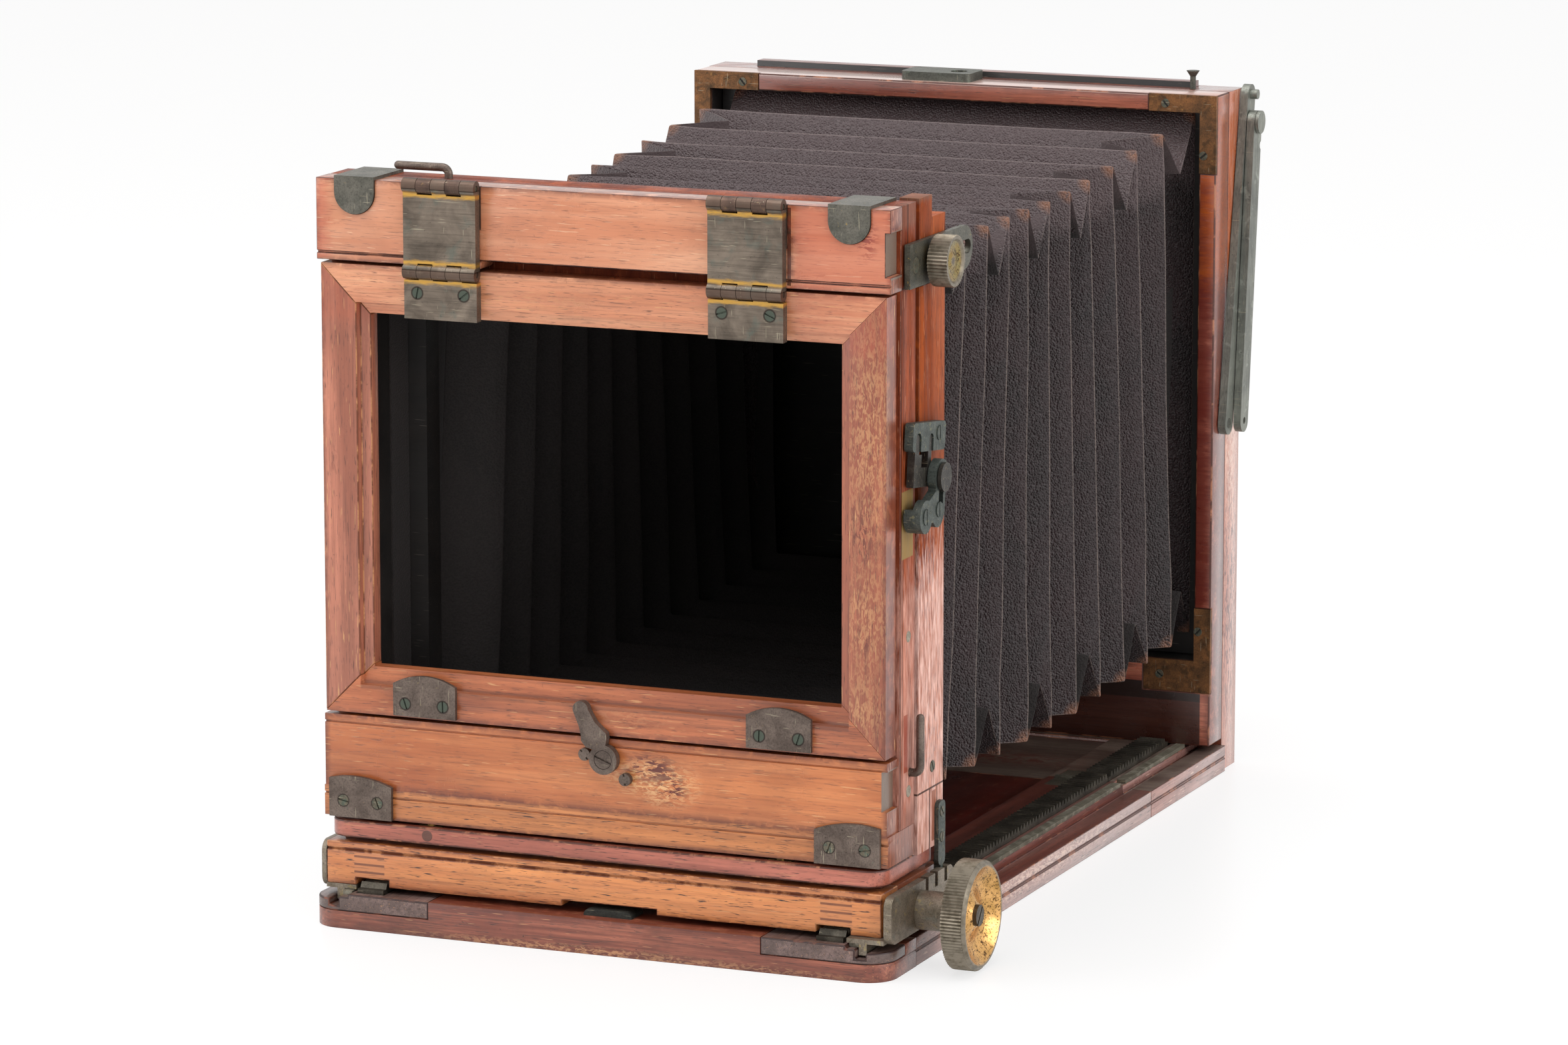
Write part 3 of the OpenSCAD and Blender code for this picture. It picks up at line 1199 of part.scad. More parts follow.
// Screen frame: mitred rails round the glass rebate, no glass fitted
clip_w = 21.7;
clip_out_x = frame_hw - 24.3;
clip_in_x = clip_out_x - clip_w;
clip_arc_r = 22;
clip_rise = 4.6;
clip_screws = [for (s = [-1, 1]) each [[s * (clip_in_x + 4.4), frame_z + 4.6], [s * (clip_out_x - 4.2), frame_z + 4.6]]];
module screen_frame() {
    color("#be735a") difference() {
        block(-frame_hw, frame_hw, 0, frame_t, frame_z, frame_top);
        block(-rebate_hw, rebate_hw, -1, rebate_d, rebate_z, rebate_top);
        block(-ledge_hw, ledge_hw, -1, frame_t + 1, ledge_z, ledge_top);
        for (p = leaf_screws) rear_hole(p[0], leaf_y, p[1]);
        for (p = clip_screws) rear_hole(p[0], -plate_t, p[1]);
    }
}
module screen_clips() {
    color("#5f5a4e") {
        difference() {
            both_sides() along_y(-plate_t, 0) intersection() {
                translate([clip_in_x, frame_z + 0.6]) square([clip_w, bottom_rail_h + clip_rise]);
                translate([(clip_in_x + clip_out_x) / 2, rebate_z + clip_rise - clip_arc_r])
                    circle(clip_arc_r, $fn = 120);
            }
            for (p = clip_screws) rear_hole(p[0], -plate_t, p[1]);
        }
        for (p = clip_screws) rear_screw(p[0], -plate_t, p[1], 15 * p[0]);
        for (p = leaf_screws) rear_screw(p[0], leaf_y, p[1], 25 * p[0]);
    }
}

// Turn button with its pivot screw and two stop screws, [x, z, radius] from the pivot
button_screw_sites = [[0, 0, button_screw_r], [-6.8, 1, 1.1], [7, -6, 1.1]];
module button_screws() {
    color("#5f5a4e") for (k = [0:2]) translate([button_x + button_screw_sites[k][0], 0,
        button_z + button_screw_sites[k][1]]) {
        rod_y(0, -button_gap - button_t + 0.9, 7, 0, button_screw_sites[k][2]);
        difference() {
            rod_y(0, k == 0 ? -button_gap - button_t + 0.1 : -1.8, k == 0 ? -button_gap - button_t + 0.9 : 0, 0,
                k == 0 ? 2.9 : 2);
            translate([0, k == 0 ? -button_gap - button_t + 0.1 : -1.8, 0]) rotate([0, 20 + 30 * k, 0])
                cube([7, 1, 0.6], center = true);
        }
    }
}
button_arm = [[-9.9, 14.3], [-8.2, 10.3], [-7.4, 7.2], [-7.4, 5.6], [-5.8, 3.6], [-3.6, 3.1], [0.9, 4.6],
    [1.35, 6.9], [1.1, 8.5], [-2.7, 11.8], [-5.1, 15.9]];
module turn_button() {
    color("#5f5a4e") translate([button_x, 0, button_z]) difference() {
        along_y(-button_gap - button_t, -button_gap) {
            circle(4.75);
            polygon(button_arm);
            translate([-7.6, 15.6]) circle(2.6);
        }
        rod_y(0, -9, 1, 0, button_screw_r + bore_play);
        rod_y(0, -9, -button_gap - button_t + 1, 0, 3.05);
    }
}
slot_r = stud_r + 0.65;
module swing_plates() {
    color("#70695a") both_sides() difference() {
        along_x(swing_plate_x, swing_plate_out) difference() {
            union() {
                translate([plate_pivot_y - 5, plate_pivot_z - swing_plate_h / 2])
                    square([swing_plate_l - 5, swing_plate_h]);
                intersection() {
                    translate([plate_pivot_y + swing_plate_l - swing_plate_h / 2, plate_pivot_z])
                        circle(swing_plate_h / 2);
                    translate([plate_pivot_y, plate_pivot_z - swing_plate_h / 2])
                        square([swing_plate_l, swing_plate_h]);
                }
            }
            translate([stud_y, plate_pivot_z]) circle(slot_r);
            translate([plate_pivot_y + swing_plate_l - 4, plate_pivot_z]) circle(slot_r);
            translate([stud_y, plate_pivot_z - slot_r])
                square([plate_pivot_y + swing_plate_l - 4 - stud_y, 2 * slot_r]);
        }
        rod_x(0, swing_plate_out + 1, plate_pivot_y, plate_pivot_z, 1.4 + bore_play);
        rod_x(swing_plate_out - 0.9, swing_plate_out + 1, plate_pivot_y, plate_pivot_z, 2.7);
    }
}
swing_knob_w = 7.7;
module swing_knob() {
    color("#8a7a50") translate([swing_plate_out + gap, stud_y, stud_z]) difference() {
        union() {
            rotate([0, 90, 0]) cylinder(h = 1.3, r = 5);
            translate([1.2, 0, 0]) rotate([90, 0, 90]) linear_extrude(swing_knob_w - 1.2)
                polygon(knurl(swing_knob_r, 44, 0.4));
        }
        rotate([0, 90, 0]) rotate_extrude() polygon([[0, swing_knob_w - 0.9], [1.8, swing_knob_w - 0.9],
            [3, swing_knob_w - 1.4], [4.6, swing_knob_w - 1.4], [swing_knob_r - 1.8, swing_knob_w - 0.8],
            [swing_knob_r - 1.2, swing_knob_w + eps], [swing_knob_r - 1.2, swing_knob_w + 1],
            [0, swing_knob_w + 1]]);
        translate([-1, 0, 0]) rotate([0, 90, 0]) cylinder(h = 7, r = stud_r + bore_play);
    }
}
module swing_knob_right() {
    swing_knob();
}
module swing_knob_left() {
    mirror([1, 0, 0]) swing_knob();
}

// Bent pins in the back: one is lifted out of its top, the other pulled out of its right side
module bent_pin(depth, arm) {
    rod_z(0, 0, -depth, 1.2, lock_pin_r);
    translate([-2.2, 0, 1.2]) rotate([90, 0, 0]) rotate_extrude(angle = 90) translate([2.2, 0]) circle(lock_pin_r);
    rod_x(-arm, -2.2, 0, 3.4, lock_pin_r);
    translate([-arm, 0, 3.4]) sphere(lock_pin_r);
}
module top_pin() {
    color("#6c655a") translate([top_pin_x, top_pin_y, back_top]) bent_pin(12, 17.5);
}
module side_pin() {
    color("#6c655a") translate([strip_hw, side_pin_y, side_pin_z]) rotate([0, 90, 0]) bent_pin(10, 17.5);
}

tail_end_rail();
tail_side_rails();
tail_panel();
tail_clamps();
tail_latch();
racks();
guide_strips();
tail_hinges();
front_bed();
tripod_bush();
box_frame();
box_corner_plates();
front_frame();
box_catch();
bellows_front_board();
bellows();
stay_stud();
stay_inner();
stay_outer();
rising_panel();
lens_board();
lens_flange();
lens_board_button();
carriage_rear_rail();
carriage_rails();
carriage_deck();
bracket_right();
bracket_left();
sole_board();
swing_lugs();
standard_frame();
locating_strips();
swing_studs();
catch_keeper();
catch_base();
catch_bolt();
bellows_liner();
swing_sleeve();
pinion_shaft();
pinions();
focus_knob();
back_strip_frame();
lower_rail();
bottom_board();
top_board();
corner_plates();
corner_straps();
upper_hinge_leaves();
back_pins();
button_screws();
hinge_links();
screen_frame();
screen_hinge_leaves();
screen_clips();
turn_button();
swing_plates();
swing_knob_right();
swing_knob_left();
top_pin();
side_pin();
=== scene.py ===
import math

import bmesh
import bpy
from mathutils import Matrix, Vector, noise


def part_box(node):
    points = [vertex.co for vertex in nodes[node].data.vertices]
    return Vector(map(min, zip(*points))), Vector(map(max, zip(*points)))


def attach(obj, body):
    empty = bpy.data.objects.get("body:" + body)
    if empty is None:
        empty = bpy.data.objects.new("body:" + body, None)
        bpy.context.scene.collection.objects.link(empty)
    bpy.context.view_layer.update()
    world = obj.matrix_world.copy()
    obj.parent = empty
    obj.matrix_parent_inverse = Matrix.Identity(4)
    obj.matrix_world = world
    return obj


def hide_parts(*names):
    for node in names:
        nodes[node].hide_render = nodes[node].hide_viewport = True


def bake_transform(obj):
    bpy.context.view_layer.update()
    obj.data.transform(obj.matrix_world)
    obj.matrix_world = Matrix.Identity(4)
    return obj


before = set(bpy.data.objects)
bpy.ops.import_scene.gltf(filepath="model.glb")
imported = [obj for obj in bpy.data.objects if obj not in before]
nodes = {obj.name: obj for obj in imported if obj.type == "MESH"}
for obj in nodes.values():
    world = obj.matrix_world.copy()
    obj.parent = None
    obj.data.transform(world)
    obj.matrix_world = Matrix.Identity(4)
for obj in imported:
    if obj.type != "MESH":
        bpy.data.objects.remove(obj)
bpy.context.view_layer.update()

MM = 0.001

# Bed rails and fixed bed. Mahogany under old shellac: short dark pores run with the grain, dirt
# sits along the joints, and hands and straps have worn the arrises brown or down to pale wood.


def linear(text):
    channels = [int(text[i:i + 2], 16) / 255 for i in (1, 3, 5)]
    return tuple([c / 12.92 if c <= 0.04045 else ((c + 0.055) / 1.055) ** 2.4 for c in channels] + [1])


def add(tree, kind, inputs=None, out=0, **settings):
    """Adds one node and gives back its output; an input is a number, a colour or another output."""
    node = tree.nodes.new("ShaderNode" + kind)
    for key, value in settings.items():
        setattr(node, key, value)
    for key, value in (inputs or {}).items():
        if isinstance(value, bpy.types.NodeSocket):
            tree.links.new(value, node.inputs[key])
        else:
            node.inputs[key].default_value = value
    return node.outputs[out] if node.outputs else node


def start_material(name):
    """Empty material, its node tree and the place on the piece."""
    material = bpy.data.materials.new(name)
    material.use_nodes = True
    tree = material.node_tree
    tree.nodes.clear()
    return material, tree, add(tree, "TexCoord", out="Object")


def marks(tree, place, size_mm, low, high, strength=1.0, detail=4.0, bend=0.0, shift=0.0):
    """Noise of a real size along x, y and z, cut to a mask from nothing to its strength."""
    stretched = add(tree, "Mapping", {"Vector": place, "Scale": [1 / (size * MM) for size in size_mm],
                                      "Location": (shift, 1.7 * shift, 0.6 * shift)})
    cloud = add(tree, "TexNoise", {"Vector": stretched, "Scale": 1.0, "Detail": detail, "Roughness": 0.6,
                                   "Distortion": bend})
    return add(tree, "MapRange", {"Value": cloud, "From Min": low, "From Max": high, "To Max": strength})


def spot(tree, place, centre_mm, half_mm):
    """Mask that is full at a place on the piece and fades out over its half sizes."""
    local = add(tree, "Mapping", {"Vector": place, "Scale": [1 / (half * MM) for half in half_mm],
                                  "Location": [-c / half for c, half in zip(centre_mm, half_mm)]})
    away = add(tree, "VectorMath", {0: local}, "Value", operation="LENGTH")
    return add(tree, "MapRange", {"Value": away, "From Min": 1.0, "From Max": 0.35})


def rim(tree, place, node, axes, reach_mm, strength):
    """Mask that is full at a board's own edges and gone a few millimetres in."""
    low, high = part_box(node)
    middle = [(a + b) / 2 for a, b in zip(low, high)]
    centred = add(tree, "VectorMath", {0: place, 1: middle}, operation="SUBTRACT")
    sides = add(tree, "SeparateXYZ", {0: add(tree, "VectorMath", {0: centred}, operation="ABSOLUTE")}).node
    mask = None
    for axis in axes:
        half = (high["xyz".index(axis)] - low["xyz".index(axis)]) / 2
        side = add(tree, "MapRange", {"Value": sides.outputs["XYZ".index(axis.upper())],
                                      "From Min": half - reach_mm * MM, "From Max": half, "To Max": strength})
        mask = add(tree, "Math", {0: mask, 1: side}, operation="MAXIMUM") if mask else side
    return mask


def layered(tree, base, layers):
    """Lays colours over each other, each through its own mask."""
    colour = base if isinstance(base, bpy.types.NodeSocket) else linear(base)
    for mask, over in layers:
        colour = add(tree, "Mix", {0: mask, 6: colour, 7: linear(over)}, out=2, data_type="RGBA")
    return colour


def inlays(tree, place, colour, fields, ragged_mm):
    """Draws joints, end grain, stains and faded stretches as boxes of another colour: (low corner,
    high corner, colour, share) in mm with a clean edge, or with a fifth number for how far a
    ragged edge reaches."""
    clean_edge = 0.12
    for low_mm, high_mm, over, share, *blur in fields:
        middle = [(a + b) / 2 * MM for a, b in zip(low_mm, high_mm)]
        half = [(b - a) / 2 * MM for a, b in zip(low_mm, high_mm)]
        centred = add(tree, "VectorMath", {0: place, 1: middle}, operation="SUBTRACT")
        apart = add(tree, "VectorMath", {0: centred}, operation="ABSOLUTE")
        outside = add(tree, "VectorMath", {0: apart, 1: half}, operation="SUBTRACT")
        parts = add(tree, "SeparateXYZ", {0: outside}).node.outputs
        furthest = add(tree, "Math", {0: parts[0], 1: parts[1]}, operation="MAXIMUM")
        furthest = add(tree, "Math", {0: furthest, 1: parts[2]}, operation="MAXIMUM")
        reach = blur[0] if blur else clean_edge
        if blur:
            ragged = marks(tree, place, ragged_mm, 0.3, 0.7, reach * MM, 6, 0.3, 5)
            furthest = add(tree, "Math", {0: furthest, 1: ragged}, operation="ADD")
        mask = add(tree, "MapRange", {"Value": furthest, "From Min": reach * MM, "From Max": 0.0,
                                      "To Max": share})
        colour = layered(tree, colour, [(mask, over)])
    return colour


def mahogany(name, grain, pale, deep, shift=0.0, pores=0.7, streaks=0.45, grime=0.5, scratches=0.5,
             worn=(), dirty=(), edges=None, fields=(), bare="#C99466", gloss=0.3, soot="#2A120B", coat=0.4):
    """Shellacked mahogany, planed along its grain axis: a soft shine over a streaked red brown.
    worn and dirty are lists of (centre, half sizes) in mm on this piece, edges is (node, axes,
    reach in mm, strength) where dirt has gathered along the board's own edges, and with no coat
    the polish is gone."""
    material, tree, place = start_material(name)
    along = "xyz".index(grain)

    def sized(across, length):
        return [length if axis == along else across for axis in range(3)]

    pore_mm = sized(0.34, 5.5)
    # broad figure, streaks, fine lines and pores, then clouds and spots of grime
    layers = [(marks(tree, place, sized(11, 150), 0.36, 0.64, 1.0, 3, 0.5, shift), deep),
              (marks(tree, place, sized(1.5, 60), 0.42, 0.68, 1.3 * streaks, 4, 0.3, shift + 3), deep),
              (marks(tree, place, sized(0.6, 22), 0.5, 0.72, 0.8 * streaks, 3, 0, shift + 5), soot),
              (marks(tree, place, pore_mm, 0.6, 0.68, pores, 2, 0.2, shift + 7), soot),
              (marks(tree, place, (30, 30, 30), 0.5, 0.78, 0.55 * grime, 6, 0.6, shift + 1), soot),
              (marks(tree, place, (1.6, 1.6, 1.6), 0.71, 0.75, 0.85 * grime, 3, 0, shift + 2), soot)]
    if edges:
        dust = marks(tree, place, (5, 5, 5), 0.3, 0.5, 1.0, 6, 0.5, shift + 4)
        dusty_rim = add(tree, "Math", {0: rim(tree, place, *edges), 1: dust}, operation="MULTIPLY")
        layers.append((dusty_rim, "#5A2414"))
    flakes = marks(tree, place, sized(1.1, 4), 0.5, 0.54, 1.0, 8, 0.8, shift + 6)
    patch = marks(tree, place, sized(0.9, 2.4), 0.46, 0.56, 0.65, 10, 0.9, shift + 8)
    for places, broken, over in ((worn, patch, bare), (dirty, flakes, "#5E2012")):
        for centre, half in places:
            faded = spot(tree, place, centre, half)
            layers.append((add(tree, "Math", {0: faded, 1: broken}, operation="MULTIPLY"), over))
    # hair scratches and small nicks that show bare wood
    layers += [(marks(tree, place, sized(0.5, 9), 0.7, 0.73, scratches, 1, 0, shift + 9), bare),
               (marks(tree, place, (2.2, 2.2, 2.2), 0.735, 0.76, scratches, 5, 0.5, shift + 10), bare)]
    colour = inlays(tree, place, layered(tree, pale, layers), fields, sized(1.2, 8))
    rubbed = marks(tree, place, (24, 24, 24), 0.35, 0.7, 0.16, 5, 0.4, shift + 11)
    rough = add(tree, "Math", {0: rubbed, 1: gloss}, operation="ADD")
    sunk = marks(tree, place, pore_mm, 0.6, 0.68, -1.0, 2, 0.2, shift + 7)
    waves = marks(tree, place, (14, 14, 14), 0.2, 0.8, 2.5, 3, 0, shift)
    relief = add(tree, "Math", {0: sunk, 1: waves}, operation="ADD")
    bump = add(tree, "Bump", {"Height": relief, "Strength": 0.4, "Distance": 0.12 * MM})
    shader = add(tree, "BsdfPrincipled", {"Base Color": colour, "Roughness": rough, "Normal": bump,
                                          "IOR": 1.5, "Coat Weight": coat, "Coat Roughness": 0.25,
                                          "Specular IOR Level": 0.5 if coat else 0.08})
    add(tree, "OutputMaterial", {"Surface": shader})
    return material


def rubbed_arris(name, dark, pale, share):
    """Rounded edge where the polish has gone: brown dirt with pale wood in the worn stretches."""
    material, tree, place = start_material(name)
    colour = layered(tree, dark, [
        (marks(tree, place, (9, 9, 9), 0.62 - 0.3 * share, 0.72 - 0.3 * share, 1.0, 7, 0.5), pale),
        (marks(tree, place, (1.2, 1.2, 1.2), 0.55, 0.7, 0.7, 3), dark)])
    shader = add(tree, "BsdfPrincipled", {"Base Color": colour, "Roughness": 0.48})
    add(tree, "OutputMaterial", {"Surface": shader})
    return material


def finish_mesh(bm, name, body, materials, smooth_angle=32):
    """Makes the piece from its mesh; edges sharper than the angle, in degrees, stay crisp."""
    mesh = bpy.data.meshes.new(name)
    bm.to_mesh(mesh)
    bm.free()
    for material in materials:
        mesh.materials.append(material)
    mesh.shade_smooth()
    mesh.set_sharp_from_angle(angle=math.radians(smooth_angle))
    piece = bpy.data.objects.new(name, mesh)
    bpy.context.collection.objects.link(piece)
    if body:
        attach(piece, body)
    return piece


def merged_copy(node):
    """Copy of a CAD node with its loose triangles merged into flat faces."""
    bm = bmesh.new()
    bm.from_mesh(nodes[node].data)
    bmesh.ops.remove_doubles(bm, verts=bm.verts, dist=0.002 * MM)
    bmesh.ops.dissolve_limit(bm, angle_limit=math.radians(1), verts=bm.verts, edges=bm.edges)
    for face in bm.faces:
        face.material_index = 0
    return bm


def ease(bm, radius):
    """Rounds arrises sharper than 35 degrees over; the rounded faces take the second material."""
    sharp = [e for e in bm.edges if len(e.link_faces) == 2 and e.calc_face_angle(0) > math.radians(35)]
    made = bmesh.ops.bevel(bm, geom=sharp, offset=radius * MM, offset_type="OFFSET", segments=2,
                           profile=0.5, affect="EDGES", clamp_overlap=True, material=-1)
    for face in made["faces"]:
        face.material_index = 1


def eased(node, body, radius, materials, third=None):
    """The planed piece with its arrises rounded; third(centre in mm, normal) picks faces of another
    finish, such as a blackened inside or an end of the board."""
    bm = merged_copy(node)
    if third:
        for face in bm.faces:
            if third(face.calc_center_median() / MM, face.normal):
                face.material_index = 2
    ease(bm, radius)
    piece = finish_mesh(bm, node + "_eased", body, materials)
    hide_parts(node)


# how far a normal points along an axis when its face counts as square to it
FACING = 0.9


def outer_side(centre, normal):
    """True for faces on the camera's own left and right sides, over 94 mm from its middle."""
    return abs(normal.x) > FACING and abs(centre.x) > 94


bed_rail = mahogany("shellacked_mahogany_bed_rail", "y", "#84463A", "#5A2C22", pores=0.6, streaks=0.5,
                    grime=0.8, scratches=0.6, gloss=0.36, bare="#A87760")
end_rail = mahogany("shellacked_mahogany_end_rail", "x", "#B46A50", "#6E3324", shift=0.4, streaks=0.7,
                    grime=1.1, scratches=0.7, edges=("tail_end_rail", "z", 2.2, 0.8),
                    worn=[((20, -14, 8), (60, 6, 3)), ((10, -8, 1), (95, 5, 2))],
                    fields=[((-110, -12, 0), (-60, -2, 12), "#4E241A", 0.6, 30),
                            ((20, -12, 0), (60, -2, 12), "#56281C", 0.5, 26)])
brown_arris = rubbed_arris("rubbed_mahogany_arris_brown", "#4A2216", "#9C6448", 0.35)
# the bed's sides are painted paler and pinker than its top, a painted sheen of the white tent; the worn
# stretch on them is real wear
bed_side_sheen = mahogany("painted_sheen_mahogany_bed_side", "y", "#B88B80", "#8E645C", shift=0.2, pores=0.8,
                    streaks=0.5, grime=0.7, scratches=1.0, gloss=0.24, bare="#DDBBA8", coat=0.8,
                    worn=[((99, 120, 6), (6, 120, 5))])
dusty_bed = mahogany("dusty_mahogany_bed_top", "x", "#77675C", "#54423A", shift=0.8, streaks=0.5,
                     grime=0.8, scratches=0.6, gloss=0.38, bare="#A39684",
                     dirty=[((20, 262, 11), (60, 16, 4))])
eased("tail_end_rail", "base", 0.9, [end_rail, brown_arris])
eased("tail_side_rails", "base", 0.4, [bed_rail, brown_arris, bed_side_sheen], third=outer_side)
eased("front_bed", "base", 0.4, [bed_side_sheen, brown_arris, dusty_bed],
      third=lambda centre, normal: abs(normal.z) > FACING)

# Dark mahogany: the thin panel of the tailboard and the end-grain clamps let into its end rail.
# It was stained nearly black; the panel is scuffed where the carriage has slid over it.
panel_wood = mahogany("dark_mahogany_panel", "y", "#54130B", "#310B06", shift=0.9, pores=0.5,
                      streaks=0.4, grime=0.5, scratches=0.8, gloss=0.26, bare="#8A6650",
                      worn=[((55, 262, 9), (26, 34, 4))])
clamp_wood = mahogany("dark_mahogany_clamp", "y", "#7E6660", "#54413A", shift=1.3, pores=0.8,
                      streaks=0.7, grime=0.7, scratches=0.4, gloss=0.4)
dark_arris = rubbed_arris("rubbed_dark_mahogany_arris", "#2A110C", "#6E3B28", 0.3)
eased("tail_panel", "base", 0.3, [panel_wood, dark_arris])
eased("tail_clamps", "base", 0.5, [clamp_wood, dark_arris])

# Racks, guide strips and hinges of the bed. The racks are steel, dark with old oil; the strips and
# hinges are brass, dulled to grey green and dusty.


def ringed(tree, place, colour, heads_mm):
    """Greened screw heads, each in a dark ring of old polish and dirt, at (x, z) in mm."""
    flat = add(tree, "VectorMath", {0: place, 1: (1, 0, 1)}, operation="MULTIPLY")
    nearest = None
    for x, z in heads_mm:
        away = add(tree, "VectorMath", {0: flat, 1: (x * MM, 0, z * MM)}, "Value", operation="DISTANCE")
        nearest = add(tree, "Math", {0: nearest, 1: away}, operation="MINIMUM") if nearest else away
    for outer_mm, inner_mm, over in ((2.3, 1.95, "#231C18"), (1.8, 1.55, "#525B50")):
        disc = add(tree, "MapRange", {"Value": nearest, "From Min": outer_mm * MM, "From Max": inner_mm * MM,
                                      "To Max": 0.85})
        colour = layered(tree, colour, [(disc, over)])
    return colour


def old_metal(name, base, second, layers=(), metal=0.8, rough=0.42, size_mm=7.0, shift=0.0, brush=None,
              grit=0.5, fields=(), heads_mm=()):
    """Dulled metal: cloudy tarnish, fine dark pits and hair scratches. layers are further
    (colour, cloud size in mm, low, high, strength), such as verdigris or rubbed gold; brush is
    the axis that wear has brushed it along."""
    material, tree, place = start_material(name)
    pits_mm = [0.5] * 3
    if brush:
        pits_mm["xyz".index(brush)] = 14
    scratch = "#B7AE95"
    stack = [(marks(tree, place, [size_mm] * 3, 0.35, 0.65, 1.0, 6, 0.6, shift), second),
             (marks(tree, place, pits_mm, 0.45, 0.75, 0.45, 3, 0, shift + 1), "#1E1A16")]
    for count, (colour, cloud, low, high, strength) in enumerate(layers):
        clouds = marks(tree, place, [cloud] * 3, low, high, strength, 7, 0.4, shift + 2 + count)
        stack.append((clouds, colour))
    stack += [(marks(tree, place, (0.9, 0.9, 0.9), 0.66, 0.7, grit, 3, 0, shift + 8), "#17130F"),
              (marks(tree, place, (7, 0.45, 0.45), 0.71, 0.74, 0.5, 1, 0, shift + 9), scratch),
              (marks(tree, place, (0.45, 0.45, 7), 0.72, 0.75, 0.5, 1, 0, shift + 10), scratch)]
    colour = inlays(tree, place, layered(tree, base, stack), fields, (4, 4, 0.8))
    if heads_mm:
        colour = ringed(tree, place, colour, heads_mm)
    height = marks(tree, place, pits_mm, 0.3, 0.8, 1.0, 4, 0, shift + 1)
    bump = add(tree, "Bump", {"Height": height, "Strength": 0.35, "Distance": 0.1 * MM})
    gloss = add(tree, "MapRange", {"Value": height, "To Min": rough, "To Max": rough + 0.2})
    shader = add(tree, "BsdfPrincipled", {"Base Color": colour, "Metallic": metal, "Normal": bump,
                                          "Roughness": gloss})
    add(tree, "OutputMaterial", {"Surface": shader})
    return material


def paint(material, *names):
    """Gives CAD nodes one finish, in place of the colour that they came with."""
    for name in names:
        nodes[name].data.materials.clear()
        nodes[name].data.materials.append(material)


oiled_steel = old_metal("oiled_rack_steel", "#625C52", "#3E3A33", metal=0.85, rough=0.36, size_mm=9)
bed_hinge = old_metal("tarnished_butt_hinge", "#7A7466", "#5A554A", metal=0.7, shift=0.2)
paint(oiled_steel, "racks")
paint(old_metal("dusty_brass_strip", "#8A8474", "#6A6456", [("#A9A494", 4, 0.5, 0.62, 0.6)], metal=0.6,
                size_mm=12, shift=0.7, brush="y"), "guide_strips")
paint(bed_hinge, "tail_hinges", "tripod_bush")
paint(old_metal("blackened_latch_plate", "#3E403B", "#2C2D2A", metal=0.6, rough=0.5, shift=0.5), "tail_latch")

# Front box: a thin dark frame on the bed behind a heavier frame that reaches the ground. Both are
# dovetailed mahogany, blackened inside, with brass angles let into the corners.


def box_mm(node):
    """Lowest and highest corner of a CAD node, in millimetres."""
    return [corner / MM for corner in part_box(node)]


def opening(half_width, low_z, high_z):
    """Picks faces that line a rectangular opening; they are painted dull black."""
    def lines_it(centre, normal):
        crosswise = abs(normal.x) > FACING or abs(normal.z) > FACING
        return crosswise and abs(centre.x) < half_width and low_z < centre.z < high_z
    return lines_it


# dark red right post, painted shade low down under the carriage, nearly black, a pale top face that is a
# painted reflection, upper outer side faded orange
box_top = box_mm("box_frame")[1].z
box_wood = mahogany("dark_mahogany_box_frame", "x", "#C4755C", "#83402F", shift=2.1, pores=0.6, streaks=0.6,
                    grime=0.7, scratches=0.4, edges=("box_frame", "xz", 2.5, 0.8), gloss=0.24, coat=1.0,
                    fields=[((80, 200, 40), (97, 400, 210), "#63180E", 0.8, 4),
                            ((-110, 200, -5), (94, 400, 33), "#260D08", 0.92),
                            ((-110, 200, 27), (94, 400, 33), "#0E0604", 0.8),
                            ((-110, 280, box_top - 0.6), (110, 400, 260), "#DDC0B4", 0.55),
                            ((94, 280, 178), (104, 420, 250), "#A0480A", 0.95, 16)])
# the front frame's outer sides take a pale pink mahogany, a painted sheen of the white tent, with orange
# higher up where it stops
box_side_sheen = mahogany("painted_sheen_mahogany_box_side", "z", "#DD9F88", "#B5735F", shift=2.6, streaks=0.5,
                    grime=0.4, scratches=0.9, gloss=0.2, bare="#F0D3C0", coat=1.0,
                    dirty=[((97, 320, 60), (6, 10, 60))], worn=[((98, 320, 130), (4, 8, 60))],
                    fields=[((92, 280, 178), (104, 420, 250), "#A34C12", 0.92, 16)])
box_front = mahogany("mahogany_front_frame", "z", "#A65A3E", "#713322", shift=2.8, streaks=0.5,
                     grime=0.4, edges=("front_frame", "xz", 1.6, 0.6), gloss=0.22, coat=1.0)
black_inside = mahogany("blackened_mahogany", "x", "#1E1916", "#141110", shift=9.1, pores=0.3, streaks=0.3,
                        grime=0.3, scratches=0.7, gloss=0.5, bare="#5A524C", soot="#0C0A09")
eased("box_frame", "base", 0.5, [box_wood, brown_arris, black_inside],
      third=opening(93, 14, 226))
eased("front_frame", "base", 0.6, [box_front, brown_arris, box_side_sheen], third=outer_side)

